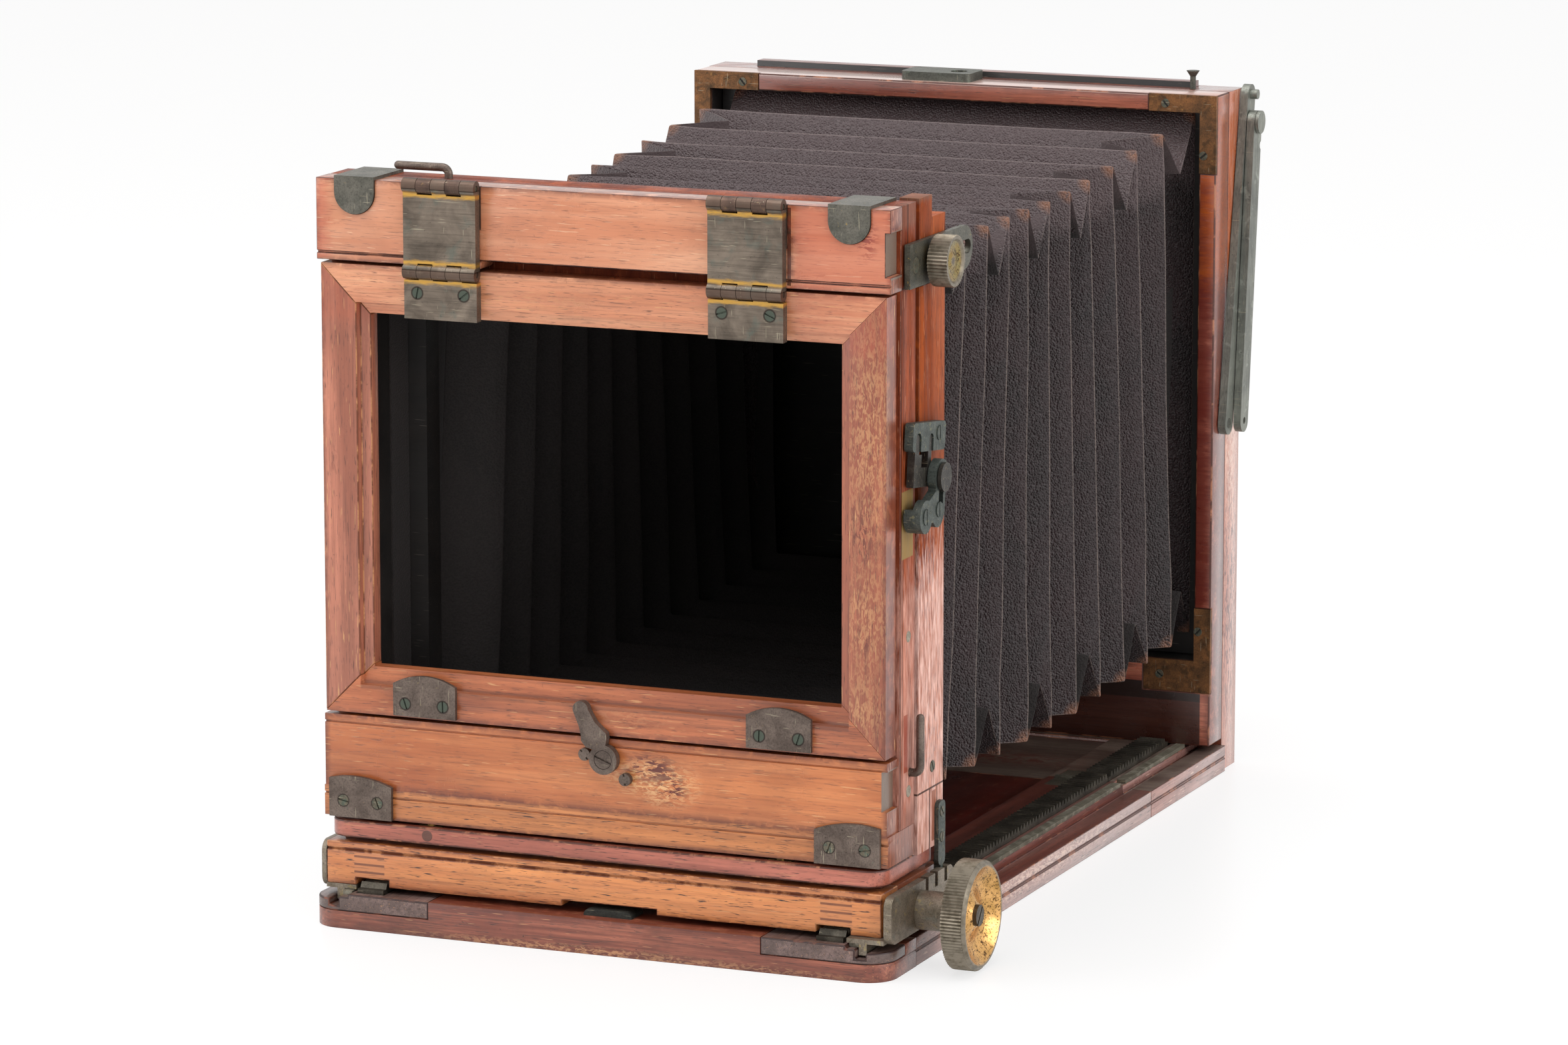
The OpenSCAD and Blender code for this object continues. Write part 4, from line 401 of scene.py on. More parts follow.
# The box's angles, catch and stay are sheet brass: the angles have gone brown, with gold where they
# are rubbed, and the catch and the stay have a dull grey green skin.
corner_brass = old_metal("worn_corner_brass", "#8E5F38", "#5C4028", [
    ("#B08448", 2.2, 0.62, 0.7, 0.6), ("#45321F", 3.5, 0.52, 0.64, 0.8)], metal=0.55, rough=0.46, size_mm=5,
    shift=3.0)
paint(corner_brass, "box_corner_plates")
paint(old_metal("green_black_bronze", "#676860", "#4F504A", [("#6E7A6C", 3, 0.6, 0.68, 0.5)], metal=0.65,
                rough=0.44, size_mm=6, shift=1.1), "box_catch", "stay_stud")
paint(old_metal("grey_green_stay_brass", "#898B82", "#6E706A", [("#A4A89E", 4, 0.58, 0.66, 0.5)], metal=0.65,
                rough=0.4, size_mm=14, shift=1.9, brush="z"), "stay_inner", "stay_outer")

# Rising front: the panel that slides in the front frame, its square lens board, brass flange and
# turn button. This side faces away from the picture, so it follows other cameras of the kind.


def inner_face(centre, normal):
    """True for faces towards the bellows, which are blackened."""
    return normal.y < -FACING


panel_front = mahogany("mahogany_rising_panel", "z", "#8A4230", "#5A2418", shift=3.3, pores=0.6, streaks=0.5,
                       grime=0.4, scratches=0.4, edges=("rising_panel", "xz", 3, 0.7), gloss=0.26)
board_wood = mahogany("mahogany_lens_board", "x", "#9A5038", "#6E3020", shift=3.9, pores=0.6, streaks=0.5,
                      grime=0.4, scratches=0.4, edges=("lens_board", "xz", 2.5, 0.7), gloss=0.26)
eased("rising_panel", "rising_front", 0.5, [panel_front, dark_arris, black_inside],
      third=inner_face)
eased("lens_board", "rising_front", 0.4, [board_wood, brown_arris, black_inside],
      third=inner_face)
paint(old_metal("lacquered_flange_brass", "#B08E50", "#8A6C3A", [("#C29C5A", 14, 0.45, 0.7, 0.5)], metal=0.9,
                rough=0.28, size_mm=24, shift=0.6, grit=0.2), "lens_flange")
paint(bed_hinge, "lens_board_button")

# Bellows and its blackened boards. Thin black morocco leather on cloth, hand folded over card
# stiffeners; the dye has worn off the ridges, and the folded corner tips are frayed brown.


def morocco(name, base, dusty, worn, grain, rough, shift=0.0):
    """Straight grained leather: slanting creases over a fine pebble grain, with a low sheen."""
    material, tree, place = start_material(name)
    creases_per_metre = (1700, 380, 1700)
    pebble_mm = 0.7
    creases = []
    for turn in (math.radians(35), math.radians(-50)):
        slanted = add(tree, "Mapping", {"Vector": place, "Rotation": (turn, 0, turn),
                                        "Scale": creases_per_metre})
        creases.append(add(tree, "TexNoise", {"Vector": slanted, "Scale": 1.0, "Detail": 3.0}))
    pebble = add(tree, "TexVoronoi", {"Vector": place, "Scale": 1 / (pebble_mm * MM)}, out="Distance")
    lines = add(tree, "Math", {0: creases[0], 1: creases[1]}, operation="MINIMUM")
    height = add(tree, "Math", {0: lines, 1: pebble}, operation="ADD")
    low_spots = add(tree, "MapRange", {"Value": height, "From Min": 0.8, "From Max": 1.1, "To Max": 0.3})
    colour = layered(tree, base, [
        (marks(tree, place, (40, 22, 50), 0.4, 0.66, 0.8, 5, 0.8, shift), dusty), (low_spots, worn),
        (marks(tree, place, (2.5, 2.5, 2.5), 0.64, 0.72, 0.5, 5, 0.3, shift + 1), worn),
        (marks(tree, place, (9, 9, 30), 0.62, 0.75, 0.6, 4, 0, shift + 2), "#141112")])
    # the top of the folds is painted paler as a painted sheen, and the tips are frayed where the fray
    # attribute says
    dust = [((-100, 0, 209), (100, 400, 260), "#5C4C4D", 0.58, 8)]
    colour = inlays(tree, place, colour, dust, (14, 14, 14))
    tip = add(tree, "MapRange", {"Value": add(tree, "Attribute", out="Fac", attribute_name="fray"),
                                 "From Min": 0.3, "From Max": 0.7})
    threads = marks(tree, place, (2, 2, 2), 0.33, 0.5, 0.95, 7, 0.4, shift + 3)
    frayed = add(tree, "Math", {0: tip, 1: threads}, operation="MULTIPLY")
    colour = layered(tree, colour, [(frayed, "#7C5440")])
    bump = add(tree, "Bump", {"Height": height, "Strength": 0.7 * grain, "Distance": 0.4 * MM}, invert=True)
    shader = add(tree, "BsdfPrincipled", {"Base Color": colour, "Normal": bump, "Roughness": rough,
                                          "Specular IOR Level": 0.4, "Sheen Weight": 0.06})
    add(tree, "OutputMaterial", {"Surface": shader})
    return material


leather = morocco("black_morocco_leather", "#2A1A1B", "#120D0D", "#3A2B2E", 1.7, 0.29)
ridge_leather = morocco("rubbed_ridge_leather", "#544743", "#2E2523", "#7F7067", 0.8, 0.42, shift=2)
inner_cloth = morocco("black_lining_cloth", "#251F1E", "#191514", "#332D2B", 0.5, 0.7, shift=4)
paint(black_inside, "bellows_front_board", "bellows_liner")

bm = merged_copy("bellows")
low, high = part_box("bellows")
middle = Vector((0, 0, (low.z + high.z) / 2))
# the folded corners lie on the outermost ridges, below and above these heights
lower_tips, upper_tips = 56 * MM, 215 * MM
tips = [vert.co.copy() for vert in bm.verts
        if abs(vert.co.x) > high.x - 0.6 * MM and not lower_tips < vert.co.z < upper_tips]


def nearest_tip(vert):
    return min((vert.co - tip).length for tip in tips)


for face in bm.faces:
    away = face.calc_center_median() - middle
    away.y = 0
    if face.normal.dot(away) < 0:
        face.material_index = 2
folds = [e for e in bm.edges if len(e.link_faces) == 2 and e.calc_face_angle(0) > math.radians(24)]
rounded = bmesh.ops.bevel(bm, geom=folds, offset=0.75 * MM, offset_type="OFFSET", segments=2, profile=0.5,
                          affect="EDGES", clamp_overlap=True, material=-1)
ridge_half_w, ridge_half_h, ridges_from = 86.5, 90, 0.93
for face in rounded["faces"]:
    centre = face.calc_center_median()
    outward = max(abs(centre.x) / ridge_half_w, abs(centre.z - middle.z) / ridge_half_h) / MM
    if face.material_index == 0 and outward > ridges_from:
        face.material_index = 1
# a finer mesh, finest round the tips, lets the leather sag a little and the fraying show
bmesh.ops.triangulate(bm, faces=bm.faces)
for halving in range(2):
    long_edges = [e for e in bm.edges if e.calc_length() > 9 * MM]
    bmesh.ops.subdivide_edges(bm, edges=long_edges, cuts=1, use_grid_fill=True)
bmesh.ops.triangulate(bm, faces=[f for f in bm.faces if len(f.verts) > 4])
for halving in range(5):
    near = [e for e in bm.edges
            if e.calc_length() > 2.5 * MM and min(nearest_tip(vert) for vert in e.verts) < 5 * MM]
    bmesh.ops.subdivide_edges(bm, edges=near, cuts=1)
    bmesh.ops.triangulate(bm, faces=[f for f in bm.faces if len(f.verts) > 3])
fray = bm.verts.layers.float.new("fray")
for vert in bm.verts:
    vert[fray] = max(0.0, 1 - nearest_tip(vert) / (7.5 * MM))
# the glued ends don't sag; the seed gives the same sag in every run
noise.seed_set(4)
glued = 4 * MM
for vert in bm.verts:
    if low.y + glued < vert.co.y < high.y - glued:
        sag = noise.noise_vector(vert.co / (26 * MM)) * 0.7 + noise.noise_vector(vert.co / (9 * MM)) * 0.25
        vert.co += sag * MM
skin = finish_mesh(bm, "bellows_skin", None, [leather, ridge_leather, inner_cloth], 75)
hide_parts("bellows")
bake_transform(skin)

# Focusing carriage: rails over the racks, a recessed deck and the red brown sole board. Open grained
# mahogany, comb jointed at the ends of the rear rail; brass brackets carry the pinion shaft.
rail_low, rail_high = box_mm("carriage_rear_rail")
comb_in, comb_out, finger, gap = 75, 85.5, 2.5, 0.6
front, rear = rail_low.y - 1, rail_low.y + 1
comb = []
for side in (-1, 1):
    near, far = sorted((side * comb_in, side * comb_out))
    comb.append(((near, front, rail_low.z - 1), (far, rear, rail_high.z + 1), "#C07A4C", 0.55))
    for step in range(5):
        at = rail_low.z + 1.6 + finger * step
        comb.append(((near, front, at), (far, rear, at + gap), "#5E2C16", 0.8))
rear_rail_wood = mahogany("open_grained_mahogany_rail", "x", "#E09254", "#BC7040", shift=4.2, pores=1.0,
                          streaks=0.4, edges=("carriage_rear_rail", "z", 1.6, 0.7), fields=comb)
side_rail_wood = mahogany("mahogany_carriage_side_rail", "y", "#B06A48", "#7E4029", shift=4.5, pores=0.8,
                          streaks=0.5, grime=0.6)
deck_wood = mahogany("dark_mahogany_deck", "x", "#6A2E20", "#451A12", shift=4.7, pores=0.6, streaks=0.5,
                     grime=0.7, gloss=0.36)
sole_wood = mahogany("red_mahogany_sole", "x", "#C0705B", "#8C4838", shift=5.4, pores=0.8, streaks=0.4,
                     grime=0.35, edges=("sole_board", "z", 1.2, 0.8))
orange_arris = rubbed_arris("rubbed_orange_mahogany_arris", "#6E3A22", "#B87C52", 0.5)
eased("carriage_rear_rail", "carriage", 0.5, [rear_rail_wood, orange_arris])
eased("carriage_rails", "carriage", 0.3, [side_rail_wood, brown_arris])
eased("carriage_deck", "carriage", 0.25, [deck_wood, dark_arris])
eased("sole_board", "carriage", 0.8, [sole_wood, brown_arris])
paint(old_metal("brown_bracket_brass", "#968A7B", "#716758", [
    ("#A89668", 3, 0.6, 0.66, 0.6), ("#6A7068", 6, 0.58, 0.68, 0.5)], metal=0.75, rough=0.4), "bracket_right",
      "bracket_left")
paint(oiled_steel, "pinion_shaft")
paint(corner_brass, "pinions")

# Fixed standard behind the bellows, bleached orange at the top with a painted pink sheen lower
# down, and blackened inside. Locating strips, lugs and the side catch are screwed to its sides.
std_top = box_mm("standard_frame")[1].z
std_side = box_mm("standard_frame")[1].x
std_in, std_out = std_side - 3, std_side + 2
# first the painted pink sheen low down and the dark band, then joints and a lighter tenon on the right side,
# and grime on top
standard_wood = mahogany("bleached_orange_mahogany", "z", "#B4561A", "#823813", shift=4.8, pores=0.8,
                         streaks=0.6, gloss=0.4, bare="#DDA27A", coat=0.0,
                         dirty=[((97, 34, 70), (4, 14, 30)), ((97, 30, 120), (4, 14, 26))],
                         edges=("standard_frame", "y", 1.4, 0.7),
                         fields=[((-std_out, 18, 20), (std_out, 60, 118), "#F2CABE", 0.85, 34),
                                 ((-std_out, 18, 148), (std_out, 60, 172), "#5E2810", 0.5, 8),
                                 ((std_in, 23, 53), (std_out, 46, 53.5), "#2C120A", 0.9),
                                 ((std_in, 33.7, 34), (std_out, 34.3, 53), "#1E0C06", 0.95),
                                 ((std_in, 36, 36), (std_out, 39, 52), "#8A4A30", 0.8),
                                 ((std_in, 39.8, 34), (std_out, 40.3, 53), "#2C120A", 0.8),
                                 ((std_in, 23, 213), (std_out, 46, 213.5), "#2C120A", 0.85),
                                 ((std_side - 14, 18, std_top - 1), (std_out, 60, std_top + 2),
                                  "#6A5548", 0.6, 2)])
eased("standard_frame", "carriage", 0.6, [standard_wood, orange_arris, black_inside],
      third=opening(86, 40, 226))

# The catch and strips have a green grey skin, the bolt is bare steel, and the lugs are rubbed gold.
paint(old_metal("green_grey_catch_brass", "#565C57", "#3F4541", [("#7C7A5C", 1.5, 0.6, 0.66, 0.7)], metal=0.7,
                rough=0.44, size_mm=4, shift=2.7), "locating_strips", "catch_keeper", "catch_base")
paint(old_metal("dark_bolt_steel", "#4A4640", "#332F2B", [("#8A775A", 1.5, 0.62, 0.68, 0.6)], rough=0.38,
                size_mm=4, shift=3.3), "catch_bolt")
paint(old_metal("rubbed_lug_brass", "#8A6C44", "#5E4A30", [("#BF9450", 2, 0.56, 0.62, 0.8)], rough=0.4,
                size_mm=4, shift=3.6), "swing_lugs", "swing_studs")

# Swing sleeve: a short strip of the bellows' lined leather between the fixed standard and the
# tilting back, glued to both.
sleeve = bpy.data.objects.new("swing_sleeve_skin", nodes["swing_sleeve"].data.copy())
bpy.context.collection.objects.link(sleeve)
sleeve.data.materials.clear()
sleeve.data.materials.append(inner_cloth)
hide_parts("swing_sleeve")
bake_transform(sleeve)

# Focusing knob and clamp knobs: turned brass with knurled rims gone brown. The focusing knob's
# dished face keeps its gold lacquer, spotted brown; the clamp knobs' faces are gone green.


def lacquer_gold(name, knob, hub_mm, rim_mm, gold, spots):
    """Gold lacquer between hub and rim of a knob that turns about x, with brown spots where it has
    let the air in; hub and rim are bare dull brass."""
    material, tree, place = start_material(name)
    low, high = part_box(knob)
    axis = (0, (low.y + high.y) / 2, (low.z + high.z) / 2)
    parts = add(tree, "SeparateXYZ", {0: place}).node.outputs
    flat = add(tree, "CombineXYZ", {1: parts[1], 2: parts[2]})
    away = add(tree, "VectorMath", {0: flat, 1: axis}, "Value", operation="DISTANCE")
    outer = add(tree, "MapRange", {"Value": away, "From Min": (rim_mm - 0.6) * MM, "From Max": rim_mm * MM})
    hub = add(tree, "MapRange", {"Value": away, "From Min": hub_mm * MM, "From Max": (hub_mm - 0.8) * MM,
                                 "To Max": 0.8})
    dirt = marks(tree, place, (2.5, 2.5, 2.5), 0.45, 0.65, 0.8, 4, 0, 4)
    colour = layered(tree, gold, [
        (marks(tree, place, (5, 5, 5), 0.4, 0.7, 0.7, 5, 0.5, 1), "#9A7434"),
        (marks(tree, place, (1.3, 1.3, 1.3), 0.57, 0.64, spots, 5, 0.4, 2), "#4A3018"),
        (marks(tree, place, (0.6, 0.6, 0.6), 0.57, 0.64, spots, 2, 0, 3), "#3A2614"),
        (hub, "#4A4034"), (outer, "#857C6E"),
        (add(tree, "Math", {0: outer, 1: dirt}, operation="MULTIPLY"), "#5E5648")])
    shine = add(tree, "MapRange", {"Value": outer, "To Min": 0.26, "To Max": 0.42})
    shader = add(tree, "BsdfPrincipled", {"Base Color": colour, "Metallic": 0.85, "Roughness": shine})
    add(tree, "OutputMaterial", {"Surface": shader})
    return material


paint(lacquer_gold("spotted_gold_lacquer", "focus_knob", 3.4, 15.8, "#DCAB6C", 0.9), "focus_knob")
paint(lacquer_gold("greened_gold_lacquer", "swing_knob_right", 1.6, 6.6, "#8F845C", 1.0), "swing_knob_right",
      "swing_knob_left")

# Back: boards and frames of mahogany that tilt together. The rear boards have gone pink orange
# under the polish, the strip frame behind them is red brown and blackened inside.
top_low, top_high = box_mm("top_board")
foot_low = box_mm("bottom_board")[0]
leaf_side = box_mm("hinge_links")[1].x
# shadow, stain and grime beside the right hinge, and redder ends
top_wood = mahogany("pink_mahogany_top_board", "x", "#DDA17E", "#C67E5A", shift=6.1, pores=0.4, streaks=0.2,
                    grime=0.35, scratches=0.4, gloss=0.24, bare="#EFC9A4",
                    dirty=[((89, -1, top_high.z - 9), (5, 6, 8))], edges=("top_board", "xz", 2.0, 0.75),
                    fields=[((leaf_side + 0.2, -3, top_low.z + 1), (leaf_side + 1.3, 3, top_high.z - 1),
                             "#1C0C06", 0.9),
                            ((leaf_side + 1.3, -3, top_low.z), (98, 3, top_high.z), "#B0462C", 0.5, 4),
                            ((-98, -3, top_low.z), (-93, 3, top_high.z), "#B0462C", 0.5, 4),
                            ((leaf_side, -3, top_low.z + 4), (leaf_side + 2, 3, top_low.z + 16),
                             "#5A2A18", 0.7, 2)])
bottom_wood = mahogany("orange_mahogany_bottom_board", "x", "#CC7E4B", "#A5562A", shift=6.7, pores=0.4,
                       streaks=0.3, scratches=0.4, gloss=0.25, bare="#DDB07C",
                       worn=[((14, 0, 57), (16, 8, 6)), ((22, 0, 55), (14, 8, 9))],
                       dirty=[((17, 0, 60), (11, 6, 6)), ((24, 0, 54), (7, 6, 7))],
                       edges=("bottom_board", "xz", 2.2, 0.8))
lower_wood = mahogany("open_grained_lower_rail", "x", "#D2874E", "#A25E32", shift=7.0, pores=1.0, grime=0.4,
                      edges=("lower_rail", "z", 1.4, 0.8))
back_in, back_out = top_high.x - 3, top_high.x + 2
back_top, over_top, joint_z = top_high.z, top_high.z + 2, top_high.z - 26
pin_low, pin_high = box_mm("side_pin")
# painted pink sheen low down; joints, a shadow behind the locking pin and a brass inlay on the right side
strip_wood = mahogany("red_brown_mahogany_strip", "z", "#A2502E", "#6A2C18", shift=7.2, pores=0.8,
                      streaks=0.55, grime=0.6, scratches=0.4, gloss=0.36, bare="#E0AE8C", coat=0.0,
                      edges=("back_strip_frame", "y", 2.0, 0.6),
                      fields=[((-back_out, 9, 30), (back_out, 24, 118), "#D9A392", 0.7, 22),
                              ((back_in, 9, back_top - 7), (back_out, 24, over_top), "#7A5040", 0.6, 2),
                              ((back_in, 14.7, joint_z), (back_out, 15.3, over_top), "#1E0C06", 0.9),
                              ((back_in, 9, joint_z + 0.1), (back_out, 24, joint_z + 0.7), "#2C120A", 0.85),
                              ((back_in, 10, 36), (back_out, 10.5, back_top), "#2C120A", 0.8),
                              ((back_in, 11.5, 36), (back_out, 11.9, back_top), "#3A1A10", 0.75),
                              ((back_in, 13, 30), (back_out, 22, 50), "#6A3A28", 0.6, 6),
                              ((back_in, pin_low.y - 4, pin_low.z + 2), (back_out, pin_low.y - 1, pin_high.z),
                               "#8A3218", 0.75),
                              ((back_in, 10.7, 130), (back_out, 20, 151), "#8A7446", 0.85)])
board_end = mahogany("dirty_mahogany_end_grain", "z", "#A9674C", "#763C28", shift=7.6, pores=0.9,
                     streaks=0.7, grime=0.9, scratches=0.9, gloss=0.34, bare="#D8AC94",
                     dirty=[((97, 4, top_high.z - 6), (6, 8, 10)), ((97, 4, foot_low.z + 26), (6, 8, 12))],
                     fields=[((95, -3, top_low.z + 4.4), (98, 12, top_low.z + 19), "#6E6054", 0.9),
                             ((94, -3, foot_low.z + 7.8), (98, 12, foot_low.z + 20.8), "#6E6054", 0.9)])
for board, radius, wood, slot in (("top_board", 0.6, top_wood, "orange_wood"),
                                  ("bottom_board", 0.6, bottom_wood, "orange_wood"),
                                  ("lower_rail", 0.5, lower_wood, "orange_wood")):
    eased(board, "back", radius, [wood, brown_arris, board_end], third=outer_side)
eased("back_strip_frame", "back", 0.4, [strip_wood, brown_arris, black_inside],
      third=opening(84, 75, 205))

# Brass work of the back, cut from sheet and screwed on: brown black plates with greened screw
# heads, greyer straps, and swing plates flecked with gold.
corner_out = box_mm("corner_plates")[1].x - 5
plate_screws = ((54.15, 73.6), (67.25, 73.6), (corner_out, 40.35), (corner_out - 11.9, 40.35))
hinge_screws = [(x + step, 205.6) for x in (-52.7, 50.5) for step in (-8, 8)]
plate_metal = old_metal("brown_black_sheet_brass", "#786A61", "#584C45", [
    ("#5C6A60", 2.5, 0.66, 0.72, 0.4), ("#8C7A58", 1.2, 0.66, 0.7, 0.5)], metal=0.7, size_mm=8, shift=2.2,
    heads_mm=[(side * x, z) for side in (-1, 1) for x, z in plate_screws] + hinge_screws)
head_brass = old_metal("dull_screw_head", "#77705F", "#5A5448", [("#4F5F55", 1.2, 0.5, 0.6, 0.7)], metal=0.7,
                       size_mm=2, shift=4.4)
paint(plate_metal, "corner_plates", "button_screws", "turn_button", "top_pin", "side_pin", "screen_clips")
paint(head_brass, "back_pins")
paint(old_metal("grey_green_strap_brass", "#706C63", "#55544C", [("#A98C4A", 2.2, 0.66, 0.7, 0.6)], metal=0.7,
                rough=0.4, size_mm=6, shift=2.9), "corner_straps")
paint(old_metal("green_grey_swing_plate", "#6A675C", "#4C4C44", [("#A98F4E", 1.6, 0.64, 0.69, 0.7)],
                metal=0.75, rough=0.38, size_mm=6, shift=3.9), "swing_plates")

# Double hinges: sheet brass brushed crosswise by wear, brown barrels, and gold showing beside the
# barrels where the lacquer was never touched. Dark lines part the knuckles.
leaf_low, leaf_high = box_mm("hinge_links")


def across_leaves(at, half, *look):
    """A band right across both hinges at a height; look is its colour, share and blur."""
    return (-90, -9, at - half), (90, 9, at + half), *look


bands = [across_leaves(at, 0.4 * half, "#C79A4A", 1.0, 0.6 * half)
         for at, half in ((leaf_high.z - 5.2, 1.6), (leaf_low.z + 5.4, 1.5), (leaf_low.z - 0.6, 1.7))]
bands += [across_leaves(at, 1.4, "#5C463B", 0.7) for at in (leaf_high.z - 1.6, leaf_low.z + 1.7)]
bands += [across_leaves(at, 0.15, "#2A1C14", 0.8)
          for at in (leaf_high.z - 3.2, leaf_high.z + 0.1, leaf_low.z + 3.2, leaf_low.z + 0.2)]
paint(old_metal("brushed_hinge_brass", "#85786B", "#60564C", [("#56665F", 7, 0.54, 0.68, 0.45)], metal=0.75,
                rough=0.36, size_mm=10, brush="x", grit=0.35, fields=bands, heads_mm=hinge_screws),
      "hinge_links", "screen_hinge_leaves")
paint(old_metal("brown_hinge_leaf_brass", "#6A5448", "#4A3A33", [("#8A6E4C", 2, 0.62, 0.68, 0.5)], metal=0.7,
                size_mm=5, shift=5.1, brush="x"), "upper_hinge_leaves")

# Screen frame: four mahogany rails mitred round the rebate for the focusing glass, which is
# missing. Each is its own stick of wood; the right one has been scraped bare in many places.
frame_low, frame_high = box_mm("screen_frame")
sticks = {
    "left": ("z", "#C98066", "#965640", 8.3, [], [((-92, -6, 150), (3, 8, 10))]),
    "right": ("z", "#B96B4A", "#8C462F", 8.9,
              [((90, -4, 170), (13, 9, 58)), ((89, -4, 112), (11, 9, 26)), ((87, -4, 84), (12, 9, 16))],
              [((88, -4, 140), (8, 9, 16)), ((88, -4, 106), (5, 9, 7))]),
    "top": ("x", "#E6A77F", "#C27A56", 9.5, [((-18, -6, 205), (34, 8, 5))], []),
    "bottom": ("x", "#C67449", "#8C482C", 10.1, [((10, -6, 75), (26, 8, 5))], [((12, -6, 73), (10, 8, 4))])}
half_kerf = 0.05
# the upper corners are redder, and a faint dark line runs along the bottom rail
stains = [((66, -1, 196), (98, 4, 212), "#A84A30", 0.4, 7),
          ((-98, -1, 196), (-69, 4, 212), "#B85A3C", 0.3, 7),
          ((-83.5, -1, 77.1), (83.5, 4, 79.1), "#3A1A10", 0.4, 0.4)]
ends = {"left": ((-1, -1), (-1, 1)), "right": ((1, -1), (1, 1)), "top": ((-1, 1), (1, 1)),
        "bottom": ((-1, -1), (1, -1))}
for name, (grain, pale, deep, shift, worn, dirty) in sticks.items():
    bm = merged_copy("screen_frame")
    for end_x, end_z in ends[name]:
        corner = Vector((end_x * frame_high.x, 0, frame_high.z if end_z > 0 else frame_low.z)) * MM
        upright = grain == "z"
        normal = Vector((-end_x, 0, end_z)) if upright else Vector((end_x, 0, -end_z))
        cut = bmesh.ops.bisect_plane(bm, geom=bm.verts[:] + bm.edges[:] + bm.faces[:], dist=0.001 * MM,
                                     plane_co=corner - normal.normalized() * half_kerf * MM,
                                     plane_no=normal, clear_outer=True)
        edges = [e for e in cut["geom_cut"] if isinstance(e, bmesh.types.BMEdge)]
        bmesh.ops.edgeloop_fill(bm, edges=edges)
    bmesh.ops.recalc_face_normals(bm, faces=bm.faces)
    ease(bm, 0.35)
    wood = mahogany("mitred_mahogany_" + name + "_rail", grain, pale, deep, shift, grime=0.45,
                    scratches=0.8, worn=worn, dirty=dirty, edges=("screen_frame", "xz", 1.8, 0.7),
                    gloss=0.27, bare="#CC9766", fields=stains)
    stick = finish_mesh(bm, "screen_frame_" + name, "screen", [wood, orange_arris])
    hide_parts("screen_frame")

# Screws in the corner angles, the locating strips and the standard's right side. They are brass,
# with hand filed heads and slots full of old polish.


def facing(centre_mm, axis):
    """Puts a disc that was made lying flat at its place, turned to face along x or y."""
    quarter = Matrix.Rotation(math.radians(90), 4, {"x": "Y", "y": "X"}[axis])
    return Matrix.Translation(Vector(centre_mm) * MM) @ quarter


def slotted_head(bm, centre_mm, axis, radius, turn):
    """Screw head as two half moons with a slot between them, on a sunk disc."""
    proud, half_slot = 0.25, 0.34
    place = facing(centre_mm, axis) @ Matrix.Rotation(math.radians(turn), 4, "Z")
    for side in (-1, 1):
        moon = bmesh.new()
        bmesh.ops.create_cone(moon, cap_ends=True, segments=24, radius1=radius * MM, radius2=radius * MM,
                              depth=2 * proud * MM)
        cut = bmesh.ops.bisect_plane(moon, geom=moon.verts[:] + moon.edges[:] + moon.faces[:],
                                     plane_co=(0, side * half_slot * MM, 0), plane_no=(0, side, 0),
                                     clear_inner=True)
        bmesh.ops.edgeloop_fill(moon, edges=[e for e in cut["geom_cut"] if isinstance(e, bmesh.types.BMEdge)])
        rims = [e for e in moon.edges if e.calc_face_angle(0) > 1]
        bmesh.ops.bevel(moon, geom=rims, offset=0.12 * MM, offset_type="OFFSET", segments=1, profile=0.5,
                        affect="EDGES", clamp_overlap=True, material=-1)
        bmesh.ops.recalc_face_normals(moon, faces=moon.faces)
        bmesh.ops.transform(moon, matrix=place, verts=moon.verts)
        part = bpy.data.meshes.new("moon")
        moon.to_mesh(part)
        moon.free()
        bm.from_mesh(part)
        bpy.data.meshes.remove(part)
    base = bmesh.ops.create_cone(bm, cap_ends=True, segments=24, radius1=0.97 * radius * MM,
                                 radius2=0.97 * radius * MM, depth=0.5 * proud * MM, matrix=place)
    for face in {f for v in base["verts"] for f in v.link_faces}:
        face.material_index = 1


slot_dark = old_metal("dark_screw_slot", "#2A2A24", "#1C1B18", metal=0.3, rough=0.6)


def screws(name, body, heads):
    """heads is a list of (centre in mm, axis, radius in mm, turn of the slot in degrees)."""
    bm = bmesh.new()
    for head in heads:
        slotted_head(bm, *head)
    finish_mesh(bm, name, body, [head_brass, slot_dark])


angle_y = box_mm("box_corner_plates")[0].y
strip_out = max(abs(c.x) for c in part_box("locating_strips")) / MM
angle_screws = ((93, 219, 40), (79, 236.6, -50), (93, 52, 48), (79, 36, -35))
strip_screws = ((44.6, 40), (36.4, -20))
screws("box_plate_screws", "base", [((side * x, angle_y, z), "y", 1.5, turn)
                                    for side in (-1, 1) for x, z, turn in angle_screws])
screws("carriage_side_screws", "carriage", [((side * strip_out, 41.1, z), "x", 1.7, turn)
                                            for side in (-1, 1) for z, turn in strip_screws]
       + [((97.1, 36, 60), "x", 1.9, 30)])

# Plugs let in flush: a mahogany dowel in the sole board, planed off with it, and two pale rubbed
# brass pins in the right side of the strip frame.


def plugs(name, body, places, material):
    """Flush round plugs: (centre in mm, axis, radius in mm)."""
    bm = bmesh.new()
    for centre_mm, axis, radius in places:
        made = bmesh.ops.create_cone(bm, cap_ends=True, segments=28, radius1=radius * MM, radius2=radius * MM,
                                     depth=0.24 * MM, matrix=facing(centre_mm, axis))
        rims = [e for e in {e for v in made["verts"] for e in v.link_edges} if e.calc_face_angle(0) > 1]
        bmesh.ops.bevel(bm, geom=rims, offset=0.08 * MM, offset_type="OFFSET", segments=1, profile=0.5,
                        affect="EDGES", clamp_overlap=True, material=-1)
    finish_mesh(bm, name, body, [material])


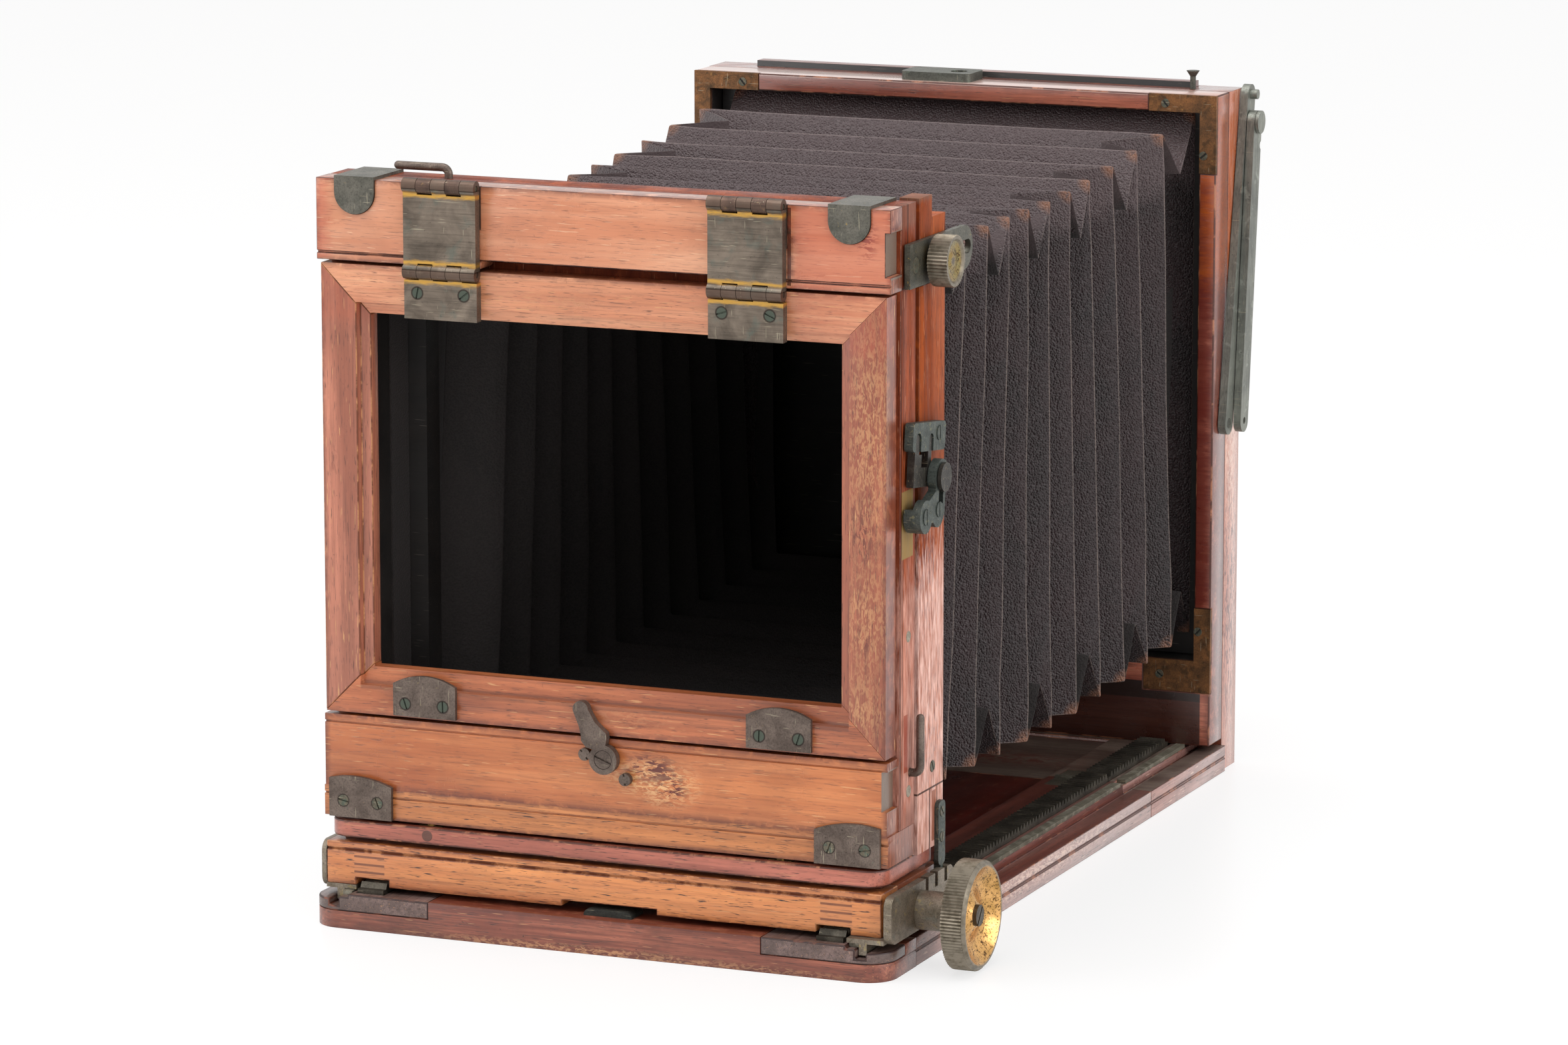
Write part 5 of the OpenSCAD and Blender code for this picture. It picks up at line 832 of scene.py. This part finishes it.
dowel_wood = mahogany("mahogany_end_grain_dowel", "x", "#6E4030", "#4A261A", shift=11.0, pores=0.8,
                      streaks=0.4, grime=0.8, scratches=0.2, gloss=0.4)
pale_brass = old_metal("pale_rubbed_brass_pin", "#A39684", "#7F7666", metal=0.5, size_mm=2)
sole_y = box_mm("sole_board")[0].y
pin_x = box_mm("back_strip_frame")[1].x
plugs("sole_dowel", "carriage", [((-60, sole_y, 31.4), "y", 1.8)], dowel_wood)
plugs("back_side_dowels", "back", [((pin_x, 17, 56), "x", 1.9), ((pin_x, 16.5, 105), "x", 1.8)], pale_brass)

# Studio: a satin paper floor that runs into a white tent, and soft lamps above and at both sides.
# The camera and shiny faces see the tent white; what it sheds on the object is dimmer.


def seen_rays(tree):
    """1 for rays from the camera, a reflection or a lens, and 0 for the rest."""
    rays = add(tree, "LightPath").node.outputs
    seen = add(tree, "Math", {0: rays["Is Camera Ray"], 1: rays["Is Glossy Ray"]}, operation="MAXIMUM")
    return add(tree, "Math", {0: seen, 1: rays["Is Transmission Ray"]}, operation="MAXIMUM")


tent_level = 0.72
floor_mesh = bpy.data.meshes.new("studio_floor")
bm = bmesh.new()
bmesh.ops.create_grid(bm, x_segments=1, y_segments=1, size=6)
bm.to_mesh(floor_mesh)
bm.free()
floor = bpy.data.objects.new("studio_floor", floor_mesh)
bpy.context.collection.objects.link(floor)
paper, tree = start_material("satin_white_paper")[:2]
matt = add(tree, "BsdfPrincipled", {"Base Color": linear("#F4F3F2"), "Roughness": 0.3})
glow = add(tree, "Emission", {"Color": linear("#FFFFFF"), "Strength": 1.0})
share = add(tree, "Math", {0: seen_rays(tree), 1: tent_level}, operation="MULTIPLY")
add(tree, "OutputMaterial", {"Surface": add(tree, "MixShader", {0: share, 1: matt, 2: glow})})
floor_mesh.materials.append(paper)

world = bpy.data.worlds.new("white_tent")
bpy.context.scene.world = world
world.use_nodes = True
tree = world.node_tree
tree.nodes.clear()
level = add(tree, "MapRange", {"Value": seen_rays(tree), "To Min": tent_level, "To Max": 1.0})
tent = add(tree, "Background", {"Color": linear("#FFFFFF"), "Strength": level})
add(tree, "OutputWorld", {"Surface": tent})

aimed_at = Vector((0, 0.12, 0.12))
lamps = (("overhead", (-0.2, -0.2, 2.2), 1.8, 33), ("left", (-1.9, -1.1, 1.0), 1.4, 17),
         ("right", (2.0, -0.2, 0.9), 1.4, 20))
for name, place_at, size, watts in lamps:
    lamp_data = bpy.data.lights.new(name + "_softbox", "AREA")
    lamp_data.energy = watts
    lamp_data.size = size
    lamp = bpy.data.objects.new(name + "_softbox", lamp_data)
    bpy.context.collection.objects.link(lamp)
    lamp.location = place_at
    lamp.rotation_euler = (aimed_at - Vector(place_at)).to_track_quat("-Z", "Y").to_euler()

# Camera: solved from the photograph's own edges, 154 mm on a 36 mm wide sensor.
camera_data = bpy.data.cameras.new("camera")
camera_data.sensor_width = 36
camera_data.lens = 154.43
camera_data.clip_end = 50
camera = bpy.data.objects.new("camera", camera_data)
bpy.context.collection.objects.link(camera)
camera.location = (0.843596, -1.873559, 0.527282)
camera.rotation_euler = [math.radians(a) for a in (79.231418, 0.002755, 22.64476)]
bpy.context.scene.camera = camera
bpy.context.scene.view_settings.view_transform = "Standard"
